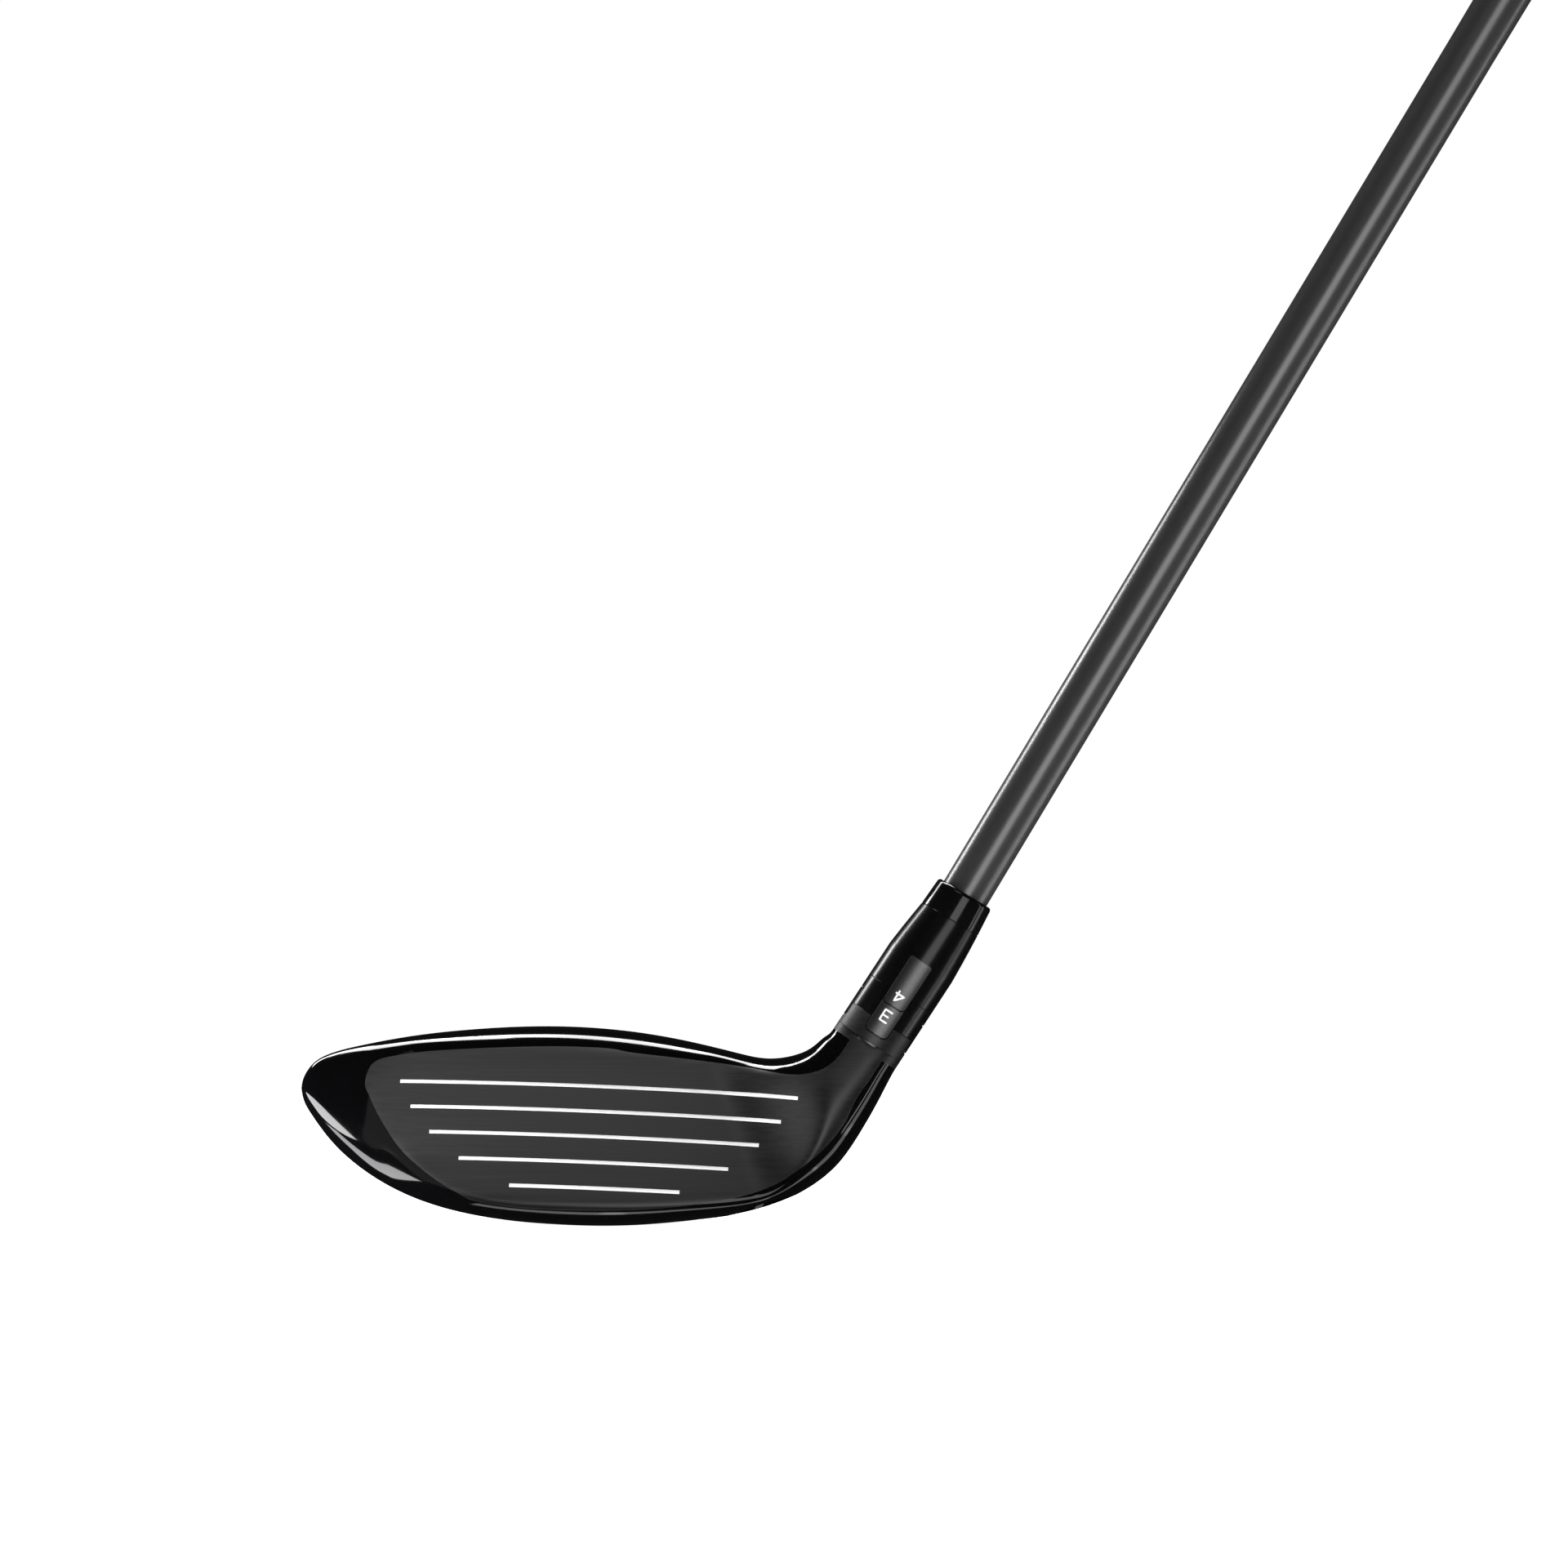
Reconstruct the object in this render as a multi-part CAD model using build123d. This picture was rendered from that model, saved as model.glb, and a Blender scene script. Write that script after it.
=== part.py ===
from build123d import *
from math import cos, sin, sqrt, tan, radians, pi
import os

# Right-handed adjustable hybrid golf club, soled for address.
# Frame: X runs from toe to heel, Z is up, and the face looks towards -Y.
# The origin is the lowest point of the sole, and all sizes are millimetres.
# The shaft axis and the hosel axis both lie in the plane Y = 0.

# ---------------------------------------------------------------- driving sizes
CLUB_LENGTH = 1022.0       # along the shaft axis, from the ground to the butt face
SHAFT_LIE = 59.0           # angle of the shaft above the ground, degrees
HOSEL_TILT = 2.2           # the sleeve leans the shaft away from the hosel axis, degrees
LOFT = 21.0                # face loft, degrees
FACE_BULGE = 280.0         # radius of the face, heel to toe and crown to sole
FACE_CENTRE = (-3.0, -3.6, 18.0)
HEEL_BLEND = 15.0          # how far the face comes forwards to run into the hosel's front
HEEL_BLEND_SPAN = (26.0, 52.0)
BROW_R = 14.0              # radius of the crown where it meets the face

RIM_CENTRE = Vector(51.9, 0, 38.8)     # centre of the hosel's upper rim
AXES_CROSS = 25.3          # from the rim up the hosel axis to where the shaft axis crosses it
HOSEL_R = 7.0
SHELL_WALL = 2.2           # thickness of the cast shell, the crown and the face plate

STEM_R = 6.0               # upper stem of the sleeve
STEM_LOW_R = 5.0
STEM_STEP = -5.0           # height where the stem narrows, from the rim
STEM_END = -24.0
RUNNING = 0.05             # radial running clearance of the sleeve, ring and screw
RING_HEIGHT = 6.25
TAB_WIDTH = 4.8
TAB_DROP = 2.7
TAB_CORNER = 1.0
TAB_GAP = 0.12
SLEEVE_KINK = 13.3         # height where the round sleeve starts to taper
SLEEVE_TOP = 23.2
SLEEVE_TOP_R = 6.15

SCREW_PITCH = 0.8
SCREW_R = 2.5
SCREW_HEAD_R = 4.0
SCREW_HEAD = (-35.6, -31.8)            # span of the head along the hosel axis
SCREW_TIP = -12.0
SCREW_WEB = (-30.8, -27.8)             # the web of the casting that the washer bears on

TIP_R = 4.7                # 0.370 inch parallel tip
TIP_INSERTION = 21.2       # from the axes' crossing down to the end of the shaft
TIP_PARALLEL = 190.0
BUTT_R = 7.5
BUTT_START = 660.0
SHAFT_WALL_TIP = 1.8
SHAFT_WALL_BUTT = 1.1
FERRULE_HEIGHT = 5.7
FERRULE_TOP_R = 5.7

GRIP_LENGTH = 267.0
GRIP_MOUTH_R = 8.9
GRIP_BUTT_R = 13.4
GRIP_CAP = 5.0
TAPE = 0.2
VENT_R = 2.0

WEIGHT_SPOT = Vector(-6.0, 34.0, 4.1)  # centre of the weight port on the sole
WEIGHT_SLOPE = 15.0        # the sole rises to the back here, degrees
WEIGHT_R = 7.0
WEIGHT_DEPTH = 5.6
WEIGHT_BOSS = 15.0         # height of the boss round the weight port, from the sole
GLUE_SPOT = Vector(-30, 22, 4.6)       # the swing-weight glue inside the toe
GLUE_R = 11.0

# Head stations, toe to hosel: crown point (x, z), sole point (x, z), then the front, back,
# crown and sole positions in y, and the height of the back edge as a share of the section.
TOE_TIP = (-58.45, 9.0, 26.1)
STATIONS = [
    ((-58.0, 28.2), (-58.0, 23.6), 6.7, 13.0, 9.0, 9.0, 0.50),
    ((-56.5, 30.45), (-56.5, 20.9), 4.4, 18.5, 9.3, 8.8, 0.50),
    ((-53.4, 32.4), (-53.4, 16.7), 2.3, 25.0, 9.6, 8.0, 0.48),
    ((-47.2, 34.1), (-47.2, 11.0), 0.6, 33.0, 10.4, 5.5, 0.45),
    ((-38.0, 35.8), (-38.0, 5.8), -4.0, 41.0, 11.4, 2.0, 0.42),
    ((-25.5, 37.16), (-25.5, 2.1), -11.0, 47.5, 12.2, 0.5, 0.40),
    ((-10.0, 37.7), (-10.0, 0.34), -13.0, 50.0, 12.5, 0.0, 0.40),
    ((4.0, 36.75), (5.0, 0.2), -13.2, 49.5, 12.3, 0.0, 0.40),
    ((15.0, 34.9), (18.0, 1.35), -12.8, 46.0, 11.2, 0.0, 0.41),
    ((24.0, 32.8), (29.0, 3.3), -11.8, 39.5, 9.0, 0.0, 0.43),
    ((30.2, 31.7), (37.5, 7.0), -10.3, 31.0, 6.4, 0.0, 0.45),
    ((35.0, 32.3), (43.6, 11.9), -9.0, 22.0, 3.8, 0.0, 0.47),
    ((38.6, 33.9), (48.0, 18.2), -8.0, 14.0, 1.8, 0.0, 0.49),
    ((41.0, 35.9), (51.6, 24.6), -7.3, 9.0, 0.6, 0.0, 0.50),
]
HOSEL_STATIONS = (-6.0, -4.0, -2.0, 0.0)
SECTION_POINTS = 40

# Score lines: centre x, half length, centre z; they fall towards the heel.
SCORE_LINES = [
    (-1.8, 37.7, 25.9),
    (-2.4, 35.1, 21.3),
    (-2.7, 31.2, 16.7),
    (-2.8, 25.5, 12.0),
    (-2.6, 16.1, 7.3),
]
SCORE_SLOPE = -2.36
SCORE_WIDTH = 0.75
SCORE_DEPTH = 0.4

# ---------------------------------------------------------------- axes and helpers
LEAN = radians(SHAFT_LIE - HOSEL_TILT)
HOSEL_DIR = Vector(cos(LEAN), 0, sin(LEAN))
SHAFT_DIR = Vector(cos(radians(SHAFT_LIE)), 0, sin(radians(SHAFT_LIE)))
CROSSING = RIM_CENTRE + HOSEL_DIR * AXES_CROSS
HOSEL = Plane(origin=RIM_CENTRE, x_dir=(0, 1, 0), z_dir=HOSEL_DIR)
SHAFT = Plane(origin=CROSSING, x_dir=(0, 1, 0), z_dir=SHAFT_DIR)
BUTT_FACE = CLUB_LENGTH - CROSSING.Z / SHAFT_DIR.Z
MOUTH = BUTT_FACE - GRIP_LENGTH


def turned(profile, place):
    """A solid of revolution: profile is (radius, height) about the place's own z axis."""
    outline = Plane.XZ * make_face(Polyline(*profile, close=True))
    return place * revolve(outline, axis=Axis.Z)


def tube(outer, inner, low, high, place):
    return turned([(inner, low), (outer, low), (outer, high), (inner, high)], place)


def rod(radius, low, high, place):
    return turned([(0, low), (radius, low), (radius, high), (0, high)], place)


def tabs(width, drop, top, outer, inner):
    """Four rounded tabs that hang from one height, as pieces of a thin tube."""
    corner = TAB_CORNER + (width - TAB_WIDTH) / 2
    outline = Pos(0, top) * RectangleRounded(width, 2 * drop, corner)
    outline -= Pos(0, top + drop) * Rectangle(2 * width, 2 * drop)
    blade = extrude(Plane.XZ * outline, amount=outer + 2, both=True)
    cross = blade + Rot(0, 0, 90) * blade
    return HOSEL * (cross & tube(outer, inner, top - drop - 1, top, Plane.XY))


def lobed_socket(radius, low, high, place):
    """A six-lobed driver socket."""
    star = Circle(radius * 0.8) + PolarLocations(radius * 0.78, 6) * Circle(radius * 0.24)
    return place * Pos(0, 0, low) * extrude(star, amount=high - low)


def one(shape):
    """The single solid of a boolean result, or all of them when there are several."""
    solids = shape.solids()
    return solids[0] if len(solids) == 1 else Compound(children=list(solids))


# ---------------------------------------------------------------- the head's outer form
def smooth_step(value, low, high):
    share = min(1.0, max(0.0, (value - low) / (high - low)))
    return share * share * (3 - 2 * share)


def section(crown, sole, front, back, y_crown, y_sole, back_share, inset):
    """One closed section: four quarter ellipses between crown, back, sole and front."""
    top = Vector(crown[0], 0, crown[1])
    low = Vector(sole[0], 0, sole[1])
    height = (top - low).length
    up = (top - low) / height
    low = low + up * inset
    height = height - 2 * inset
    points = []
    for i in range(SECTION_POINTS):
        turn = 2 * pi * i / SECTION_POINTS
        c = cos(turn)
        s = sin(turn)
        y_mid = y_crown if s > 0 else y_sole
        share = back_share * (1 + c) / 2 + (0.5 * back_share + 0.2) * (1 - c) / 2
        rise = height * (1 - share) if s > 0 else height * share
        reach = back - inset - y_mid if c > 0 else y_mid - front - inset
        if s > 0 > c:
            brow = min(reach, sqrt(BROW_R * rise))
            reach += (brow - reach) * smooth_step(s, 0.35, 0.75)
        points.append(low + up * (height * share + rise * s) + Vector(0, y_mid + reach * c, 0))
    return Wire([Edge.make_spline(points, periodic=True)])


def hosel_section(height, inset):
    centre = RIM_CENTRE + HOSEL_DIR * height
    side = Vector(-HOSEL_DIR.Z, 0, HOSEL_DIR.X)
    crown = centre + side * HOSEL_R
    sole = centre - side * HOSEL_R
    ends = (crown.X, crown.Z), (sole.X, sole.Z)
    return section(*ends, -HOSEL_R, HOSEL_R, 0.0, 0.0, 0.5, inset)


def face_y(x, z):
    """The face surface: a lofted plane with bulge, fading forwards into the hosel."""
    dx = x - FACE_CENTRE[0]
    dz = z - FACE_CENTRE[2]
    plane_y = FACE_CENTRE[1] + dz * tan(radians(LOFT)) + (dx * dx + dz * dz) / (2 * FACE_BULGE)
    return plane_y - HEEL_BLEND * smooth_step(x + 0.35 * dz, *HEEL_BLEND_SPAN)


def head_form(inset):
    """The whole head with its hosel, or the same form drawn in by a wall thickness."""
    tip = Vertex(TOE_TIP[0] + inset, TOE_TIP[1], TOE_TIP[2])
    sections = [tip]
    for station in STATIONS:
        if station[0][1] - station[1][1] > 2 * inset + 4:
            sections.append(section(*station, inset))
    for height in HOSEL_STATIONS:
        sections.append(hosel_section(height, inset))
    solid = Solid.make_loft(sections)
    grid = []
    for i in range(19):
        x = -75 + i * 150 / 18
        grid.append([Vector(x, face_y(x, z) + inset, z) for z in range(-16, 61, 7)])
    in_front = Solid.extrude(Face.make_surface_from_array_of_points(grid), Vector(0, -60, 0))
    return solid - in_front


# ---------------------------------------------------------------- the cast head and its plates
def weight_place():
    """The weight port's plane: z points into the head, square to the sloping sole."""
    tilt = radians(WEIGHT_SLOPE)
    return Plane(origin=WEIGHT_SPOT, x_dir=(1, 0, 0), z_dir=(0, -sin(tilt), cos(tilt)))


def face_prism():
    """Everything in front of the face plate's outline."""
    outline = make_face(
        Polyline((-43.5, 26.5), (-38.5, 30.0), (-26.0, 32.4), (-10.0, 33.2), (8.0, 32.2), (22.0, 30.0))
        + Polyline((22.0, 30.0), (31.0, 28.6), (38.5, 27.2), (37.6, 24.6), (33.5, 19.8), (29.8, 14.6))
        + Polyline((29.8, 14.6), (24.8, 9.2), (16.0, 5.9), (0.0, 4.9), (-17.0, 5.2), (-29.0, 8.8))
        + Polyline((-29.0, 8.8), (-38.0, 16.5))
        + Polyline((-38.0, 16.5), (-43.5, 26.5))
    )
    return Pos(0, 12, 0) * extrude(Plane.XZ * outline, amount=50)


def crown_prism():
    """Everything above the crown plate's outline."""
    outline = make_face(Spline(
        (-46.0, 20.0), (-34.0, 12.5), (-10.0, 11.5), (12.0, 11.5), (24.0, 14.0),
        (24.0, 24.0), (10.0, 36.0), (-10.0, 40.0), (-32.0, 34.0), periodic=True,
    ))
    return Pos(0, 0, 24) * extrude(outline, amount=30)


def build_head(parts):
    outer = head_form(0.0)
    inner = head_form(SHELL_WALL)
    weight = weight_place()
    heel_solid = Pos(76, 0, 20) * Rot(0, 30, 0) * Box(100, 200, 200)
    boss = rod(WEIGHT_R + SHELL_WALL, -6, WEIGHT_BOSS, weight)
    cavity = inner - heel_solid - boss

    face_blank = (outer & face_prism()) - inner
    crown_blank = (outer & crown_prism()) - inner

    bore = rod(STEM_R + RUNNING, STEM_STEP - 1.4, 3, HOSEL)
    bore += rod(STEM_LOW_R + 0.1, SCREW_WEB[1], STEM_STEP, HOSEL)
    bore += rod(SCREW_R + RUNNING, SCREW_WEB[0] - 1, SCREW_WEB[1] + 1, HOSEL)
    bore += rod(SCREW_HEAD_R + 0.3, -60, SCREW_WEB[0], HOSEL)
    notches = tabs(TAB_WIDTH + 2 * TAB_GAP, TAB_DROP + TAB_GAP, 0.0, HOSEL_R + 1, STEM_R - 0.5)
    port = rod(WEIGHT_R, -10, WEIGHT_DEPTH, weight)
    port += rod(2.1, WEIGHT_DEPTH - 1, WEIGHT_DEPTH + 6.5, weight)

    body = outer - face_blank - crown_blank - cavity
    body = body - bore - notches - port
    parts["head_body"] = one(body)
    parts["crown_plate"] = one(crown_blank)

    under_grooves = head_form(SCORE_DEPTH)
    fill = []
    for x, half, z in SCORE_LINES:
        slot = Pos(x, z) * Rot(0, 0, SCORE_SLOPE) * SlotOverall(2 * half, SCORE_WIDTH)
        blade = extrude(Plane.XZ * slot, amount=30, both=True)
        groove = (face_blank & blade) - under_grooves
        face_blank = face_blank - groove
        fill += list(groove.solids())
    parts["face_plate"] = one(face_blank)
    parts["score_line_fill"] = Compound(children=fill)

    parts["hosel_screw_washer"] = one(tube(SCREW_HEAD_R, SCREW_R + RUNNING, SCREW_HEAD[1], SCREW_WEB[0], HOSEL))
    parts["screw_retainer"] = one(tube(4.6, SCREW_R + RUNNING, SCREW_WEB[1], SCREW_WEB[1] + 1.4, HOSEL))
    parts["weight_pad"] = one(tube(WEIGHT_R - 0.3, 3.0, WEIGHT_DEPTH - 0.6, WEIGHT_DEPTH, weight))
    glue = rod(GLUE_R, -8, 1.2, Plane(origin=GLUE_SPOT, z_dir=(-0.12, -0.1, 1)))
    parts["swing_weight_glue"] = one(glue & inner)


# ---------------------------------------------------------------- screws and the sole weight
def threaded_rod(radius, depth, pitch, low, high):
    """The profile of a screw's shank, with one groove for each turn of the thread."""
    turns = int((high - low) / pitch)
    profile = [(0, low), (radius - depth, low)]
    for i in range(turns):
        base = low + i * pitch
        profile.append((radius, base + 0.35 * pitch))
        profile.append((radius, base + 0.5 * pitch))
        profile.append((radius - depth, base + 0.85 * pitch))
    profile.append((radius - depth, high))
    return profile + [(0, high)]


def build_hosel_screw(parts):
    low, high = SCREW_HEAD
    head = turned([(0, low), (3.4, low), (SCREW_HEAD_R, low + 0.6), (SCREW_HEAD_R, high), (0, high)], HOSEL)
    neck = rod(SCREW_R, high - 0.5, STEM_END - 1.0, HOSEL)
    thread = turned(threaded_rod(SCREW_R - 0.02, 0.3, SCREW_PITCH, STEM_END - 1.5, SCREW_TIP), HOSEL)
    parts["hosel_screw"] = one(head + neck + thread - lobed_socket(2.2, low - 1, low + 2.4, HOSEL))


def build_weight(parts):
    place = weight_place()
    disc = tube(WEIGHT_R - 0.15, 2.15, 0.2, WEIGHT_DEPTH - 0.6, place)
    disc -= turned([(0, -1), (3.75, -1), (3.75, 1.9), (2.15, 3.4), (0, 3.4)], place)
    parts["weight_disc"] = one(disc)
    head = turned([(0, 0.4), (3.3, 0.4), (3.55, 0.7), (3.55, 1.9), (1.95, 3.4), (0, 3.4)], place)
    shank = turned(threaded_rod(1.98, 0.25, 0.7, 3.2, WEIGHT_DEPTH + 5.8), place)
    parts["weight_screw"] = one(head + shank - lobed_socket(1.7, -1, 2.2, place))


# ---------------------------------------------------------------- the two-piece adjustable hosel
def build_ring(parts):
    ring = tube(HOSEL_R, STEM_R + RUNNING, 0.0, RING_HEIGHT, HOSEL)
    ring += tabs(TAB_WIDTH, TAB_DROP, 0.0, HOSEL_R, STEM_R + RUNNING)
    ring -= tabs(TAB_WIDTH + 2 * TAB_GAP, TAB_DROP + TAB_GAP, RING_HEIGHT, HOSEL_R + 1, STEM_R - 0.5)
    parts["setting_ring"] = one(ring)


def build_sleeve(parts):
    stem = turned([
        (0, STEM_END), (STEM_LOW_R, STEM_END), (STEM_LOW_R, STEM_STEP - 1.2), (STEM_R, STEM_STEP),
        (STEM_R, RING_HEIGHT), (HOSEL_R, RING_HEIGHT), (HOSEL_R, SLEEVE_KINK), (0, SLEEVE_KINK),
    ], HOSEL)
    lower_ring = HOSEL * Pos(0, 0, SLEEVE_KINK) * Circle(HOSEL_R)
    upper_ring = SHAFT * Pos(0, 0, SLEEVE_TOP - AXES_CROSS) * Circle(SLEEVE_TOP_R)
    taper = loft([lower_ring, upper_ring], ruled=True)
    sleeve = stem + taper + tabs(TAB_WIDTH, TAB_DROP, RING_HEIGHT, HOSEL_R, STEM_R - 0.3)
    sleeve -= rod(TIP_R, -TIP_INSERTION, 20, SHAFT)
    sleeve -= rod(SCREW_R + 0.02, STEM_END - 1, -8.0, HOSEL)
    sleeve -= tube(STEM_LOW_R + 1, STEM_LOW_R - 0.7, -9.6, -8.2, HOSEL)
    parts["hosel_sleeve"] = one(sleeve)
    parts["sleeve_o_ring"] = one(tube(STEM_LOW_R + 0.04, STEM_LOW_R - 0.7, -9.6, -8.2, HOSEL))


# ---------------------------------------------------------------- shaft, ferrule and grip
def build_shaft(parts):
    low = -TIP_INSERTION
    high = BUTT_FACE - GRIP_CAP
    hollow_tip = TIP_R - SHAFT_WALL_TIP
    hollow_butt = BUTT_R - SHAFT_WALL_BUTT
    parts["shaft"] = one(turned([
        (hollow_tip, low), (TIP_R, low), (TIP_R, TIP_PARALLEL), (BUTT_R, BUTT_START), (BUTT_R, high),
        (hollow_butt, high), (hollow_butt, BUTT_START), (hollow_tip, TIP_PARALLEL),
    ], SHAFT))
    parts["shaft_tip_plug"] = one(rod(hollow_tip, low, low + 9.0, SHAFT))
    base = SLEEVE_TOP - AXES_CROSS
    parts["ferrule"] = one(turned([
        (TIP_R, base), (SLEEVE_TOP_R, base), (FERRULE_TOP_R + 0.08, base + FERRULE_HEIGHT - 0.4),
        (FERRULE_TOP_R - 0.25, base + FERRULE_HEIGHT), (TIP_R, base + FERRULE_HEIGHT),
    ], SHAFT))


def build_grip(parts):
    high = BUTT_FACE - GRIP_CAP
    parts["grip_tape"] = one(tube(BUTT_R + TAPE, BUTT_R, MOUTH + 4, high, SHAFT))
    bore = BUTT_R + TAPE
    flare = BUTT_FACE - 22.0
    parts["grip_sleeve"] = one(turned([
        (bore, MOUTH), (GRIP_MOUTH_R - 0.5, MOUTH), (GRIP_MOUTH_R, MOUTH + 1.0),
        (GRIP_MOUTH_R + 2.6, flare - 70.0), (GRIP_BUTT_R - 0.7, flare), (GRIP_BUTT_R, BUTT_FACE - 9.0),
        (GRIP_BUTT_R, high), (bore, high),
    ], SHAFT))
    rim = GRIP_BUTT_R
    parts["grip_cap"] = one(turned([
        (VENT_R, high), (rim, high), (rim, BUTT_FACE - 2.6), (rim - 0.8, BUTT_FACE - 1.0),
        (rim - 2.6, BUTT_FACE), (VENT_R, BUTT_FACE),
    ], SHAFT))


def main():
    os.makedirs("parts", exist_ok=True)
    parts = {}
    build_head(parts)
    build_hosel_screw(parts)
    build_weight(parts)
    build_ring(parts)
    build_sleeve(parts)
    build_shaft(parts)
    build_grip(parts)
    for name, shape in parts.items():
        export_step(shape, f"parts/{name}.step")
        print(name, round(shape.volume, 1))
    print("butt face", BUTT_FACE, "crossing", CROSSING, "shaft", SHAFT_DIR, "hosel", HOSEL_DIR)


main()
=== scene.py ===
# %% [markdown]
# A hybrid golf club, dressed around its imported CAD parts.
# The frame brings the fixed parts in, in metres. Everything below is made in that same
# frame, so a piece is made where it belongs and is never moved afterwards.

# %% Load the frame
import math
import bmesh
import bpy
import numpy as np
from mathutils import Matrix, Vector


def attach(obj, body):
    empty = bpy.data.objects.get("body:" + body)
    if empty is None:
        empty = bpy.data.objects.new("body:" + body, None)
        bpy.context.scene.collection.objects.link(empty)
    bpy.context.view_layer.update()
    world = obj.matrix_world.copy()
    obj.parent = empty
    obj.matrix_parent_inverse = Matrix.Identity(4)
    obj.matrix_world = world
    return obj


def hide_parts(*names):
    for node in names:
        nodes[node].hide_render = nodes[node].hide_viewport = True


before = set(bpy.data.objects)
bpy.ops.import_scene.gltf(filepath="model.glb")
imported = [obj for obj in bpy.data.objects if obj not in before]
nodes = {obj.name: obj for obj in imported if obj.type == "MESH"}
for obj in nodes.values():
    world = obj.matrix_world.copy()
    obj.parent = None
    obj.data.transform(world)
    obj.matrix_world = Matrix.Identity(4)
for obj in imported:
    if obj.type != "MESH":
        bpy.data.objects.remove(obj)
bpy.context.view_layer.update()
scene = bpy.context.scene
MM = 0.001

# %% [markdown]
# The club's own sizes, in millimetres, as its drawing has them. Two axes matter: the hosel
# axis, which the ring, sleeve and screw share, and the shaft axis, which leans away from it.

# %% Sizes and axes
HOSEL_R = 7.0
STEM_R = 6.0
STEM_LOW_R = 5.0
STEM_STEP = -5.0
STEM_END = -24.0
BORE_R = 6.05
LOW_BORE_R = 5.1
RING_HEIGHT = 6.25
TAB_WIDTH = 4.8
TAB_DROP = 2.7
TAB_CORNER = 1.0
TAB_GAP = 0.12
SLEEVE_KINK = 13.3
SLEEVE_TOP = 23.2
SLEEVE_TOP_R = 6.15
AXES_CROSS = 25.3
FERRULE_HEIGHT = 5.7
FERRULE_TOP_R = 5.7
TIP_R = 4.7
TIP_INSERTION = 21.2
BUTT_R = 7.5
TIP_PARALLEL = 190.0
BUTT_START = 660.0
CLUB_LENGTH = 1022.0
GRIP_LENGTH = 267.0
GRIP_MOUTH_R = 8.9
GRIP_BUTT_R = 13.4
GRIP_CAP = 5.0
VENT_R = 2.0
SHAFT_LIE = math.radians(59.0)
HOSEL_LIE = math.radians(56.8)

ACROSS = np.array([0.0, 1.0, 0.0])
RIM = np.array([51.9, 0.0, 38.8])
HOSEL_DIR = np.array([math.cos(HOSEL_LIE), 0.0, math.sin(HOSEL_LIE)])
SHAFT_DIR = np.array([math.cos(SHAFT_LIE), 0.0, math.sin(SHAFT_LIE)])
CROSSING = RIM + HOSEL_DIR * AXES_CROSS
HOSEL = (RIM, HOSEL_DIR)
SHAFT = (CROSSING, SHAFT_DIR)
BUTT_FACE = CLUB_LENGTH - CROSSING[2] / SHAFT_DIR[2]
MOUTH = BUTT_FACE - GRIP_LENGTH
print("up the shaft axis, in mm: grip mouth", round(float(MOUTH), 2), "butt face", round(float(BUTT_FACE), 2))


def point_on(place, radius, turn, height):
    """A point about an axis: turn is 0 towards the target and grows towards the toe side."""
    origin, along = place
    side = np.cross(along, ACROSS)
    out = side * np.sin(turn)[..., None] - ACROSS * np.cos(turn)[..., None]
    return origin + out * np.asarray(radius)[..., None] + along * np.asarray(height)[..., None]


# %% [markdown]
# Every piece is a mesh made from rows of points. One helper joins rows into quads, and one
# gives each piece its shading, body and material slot, and hides the CAD nodes that it stands for.

# %% Mesh helpers
def new_piece(name, data):
    """Puts a new object with this mesh, curve, light or camera in the scene."""
    piece = bpy.data.objects.new(name, data)
    scene.collection.objects.link(piece)
    return piece


def evaluated_mesh(piece):
    """A plain mesh of what a piece's modifiers or curve make of it."""
    return bpy.data.meshes.new_from_object(piece.evaluated_get(bpy.context.evaluated_depsgraph_get()))


def points_of(piece):
    """A piece's points, in millimetres."""
    flat = np.zeros(len(piece.data.vertices) * 3)
    piece.data.vertices.foreach_get("co", flat)
    return flat.reshape(-1, 3) / MM


def store(piece, name, values):
    """Keeps one number per point on the mesh, for a material to read."""
    piece.data.attributes.new(name, "FLOAT", "POINT").data.foreach_set("value", values)


def mesh_from_rows(name, rows, wrap_rows=False, caps=()):
    """Rows of points that close on themselves, joined to each other by quads."""
    rows = np.asarray(rows, float)
    count, around = rows.shape[0], rows.shape[1]
    points = [tuple(p * MM) for row in rows for p in row]
    faces = []
    last = count if wrap_rows else count - 1
    for i in range(last):
        j = (i + 1) % count
        for k in range(around):
            m = (k + 1) % around
            faces.append((i * around + k, i * around + m, j * around + m, j * around + k))
    for cap in caps:
        row = 0 if cap == "start" else count - 1
        centre = len(points)
        points.append(tuple(rows[row].mean(0) * MM))
        for k in range(around):
            m = (k + 1) % around
            corner = (row * around + k, row * around + m, centre)
            faces.append(corner[::-1] if cap == "start" else corner)
    mesh = bpy.data.meshes.new(name)
    mesh.from_pydata(points, [], faces)
    mesh.update()
    return new_piece(name, mesh)


def face_outwards(piece):
    """Merges doubles and turns every face of a closed piece outwards."""
    bm = bmesh.new()
    bm.from_mesh(piece.data)
    bmesh.ops.remove_doubles(bm, verts=bm.verts, dist=1e-7)
    bmesh.ops.recalc_face_normals(bm, faces=bm.faces)
    bm.to_mesh(piece.data)
    bm.free()


def finish_piece(piece, body, material, stands_for=(), sharp=35.0):
    """Shades a piece, gives it its material, body and slot, and hides the CAD nodes it stands for."""
    face_outwards(piece)
    piece.data.shade_smooth()
    piece.data.set_sharp_from_angle(angle=math.radians(sharp))
    piece.data.materials.clear()
    piece.data.materials.append(material)
    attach(piece, body)
    if stands_for:
        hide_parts(*stands_for)
    print(piece.name, "faces", len(piece.data.polygons))


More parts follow.
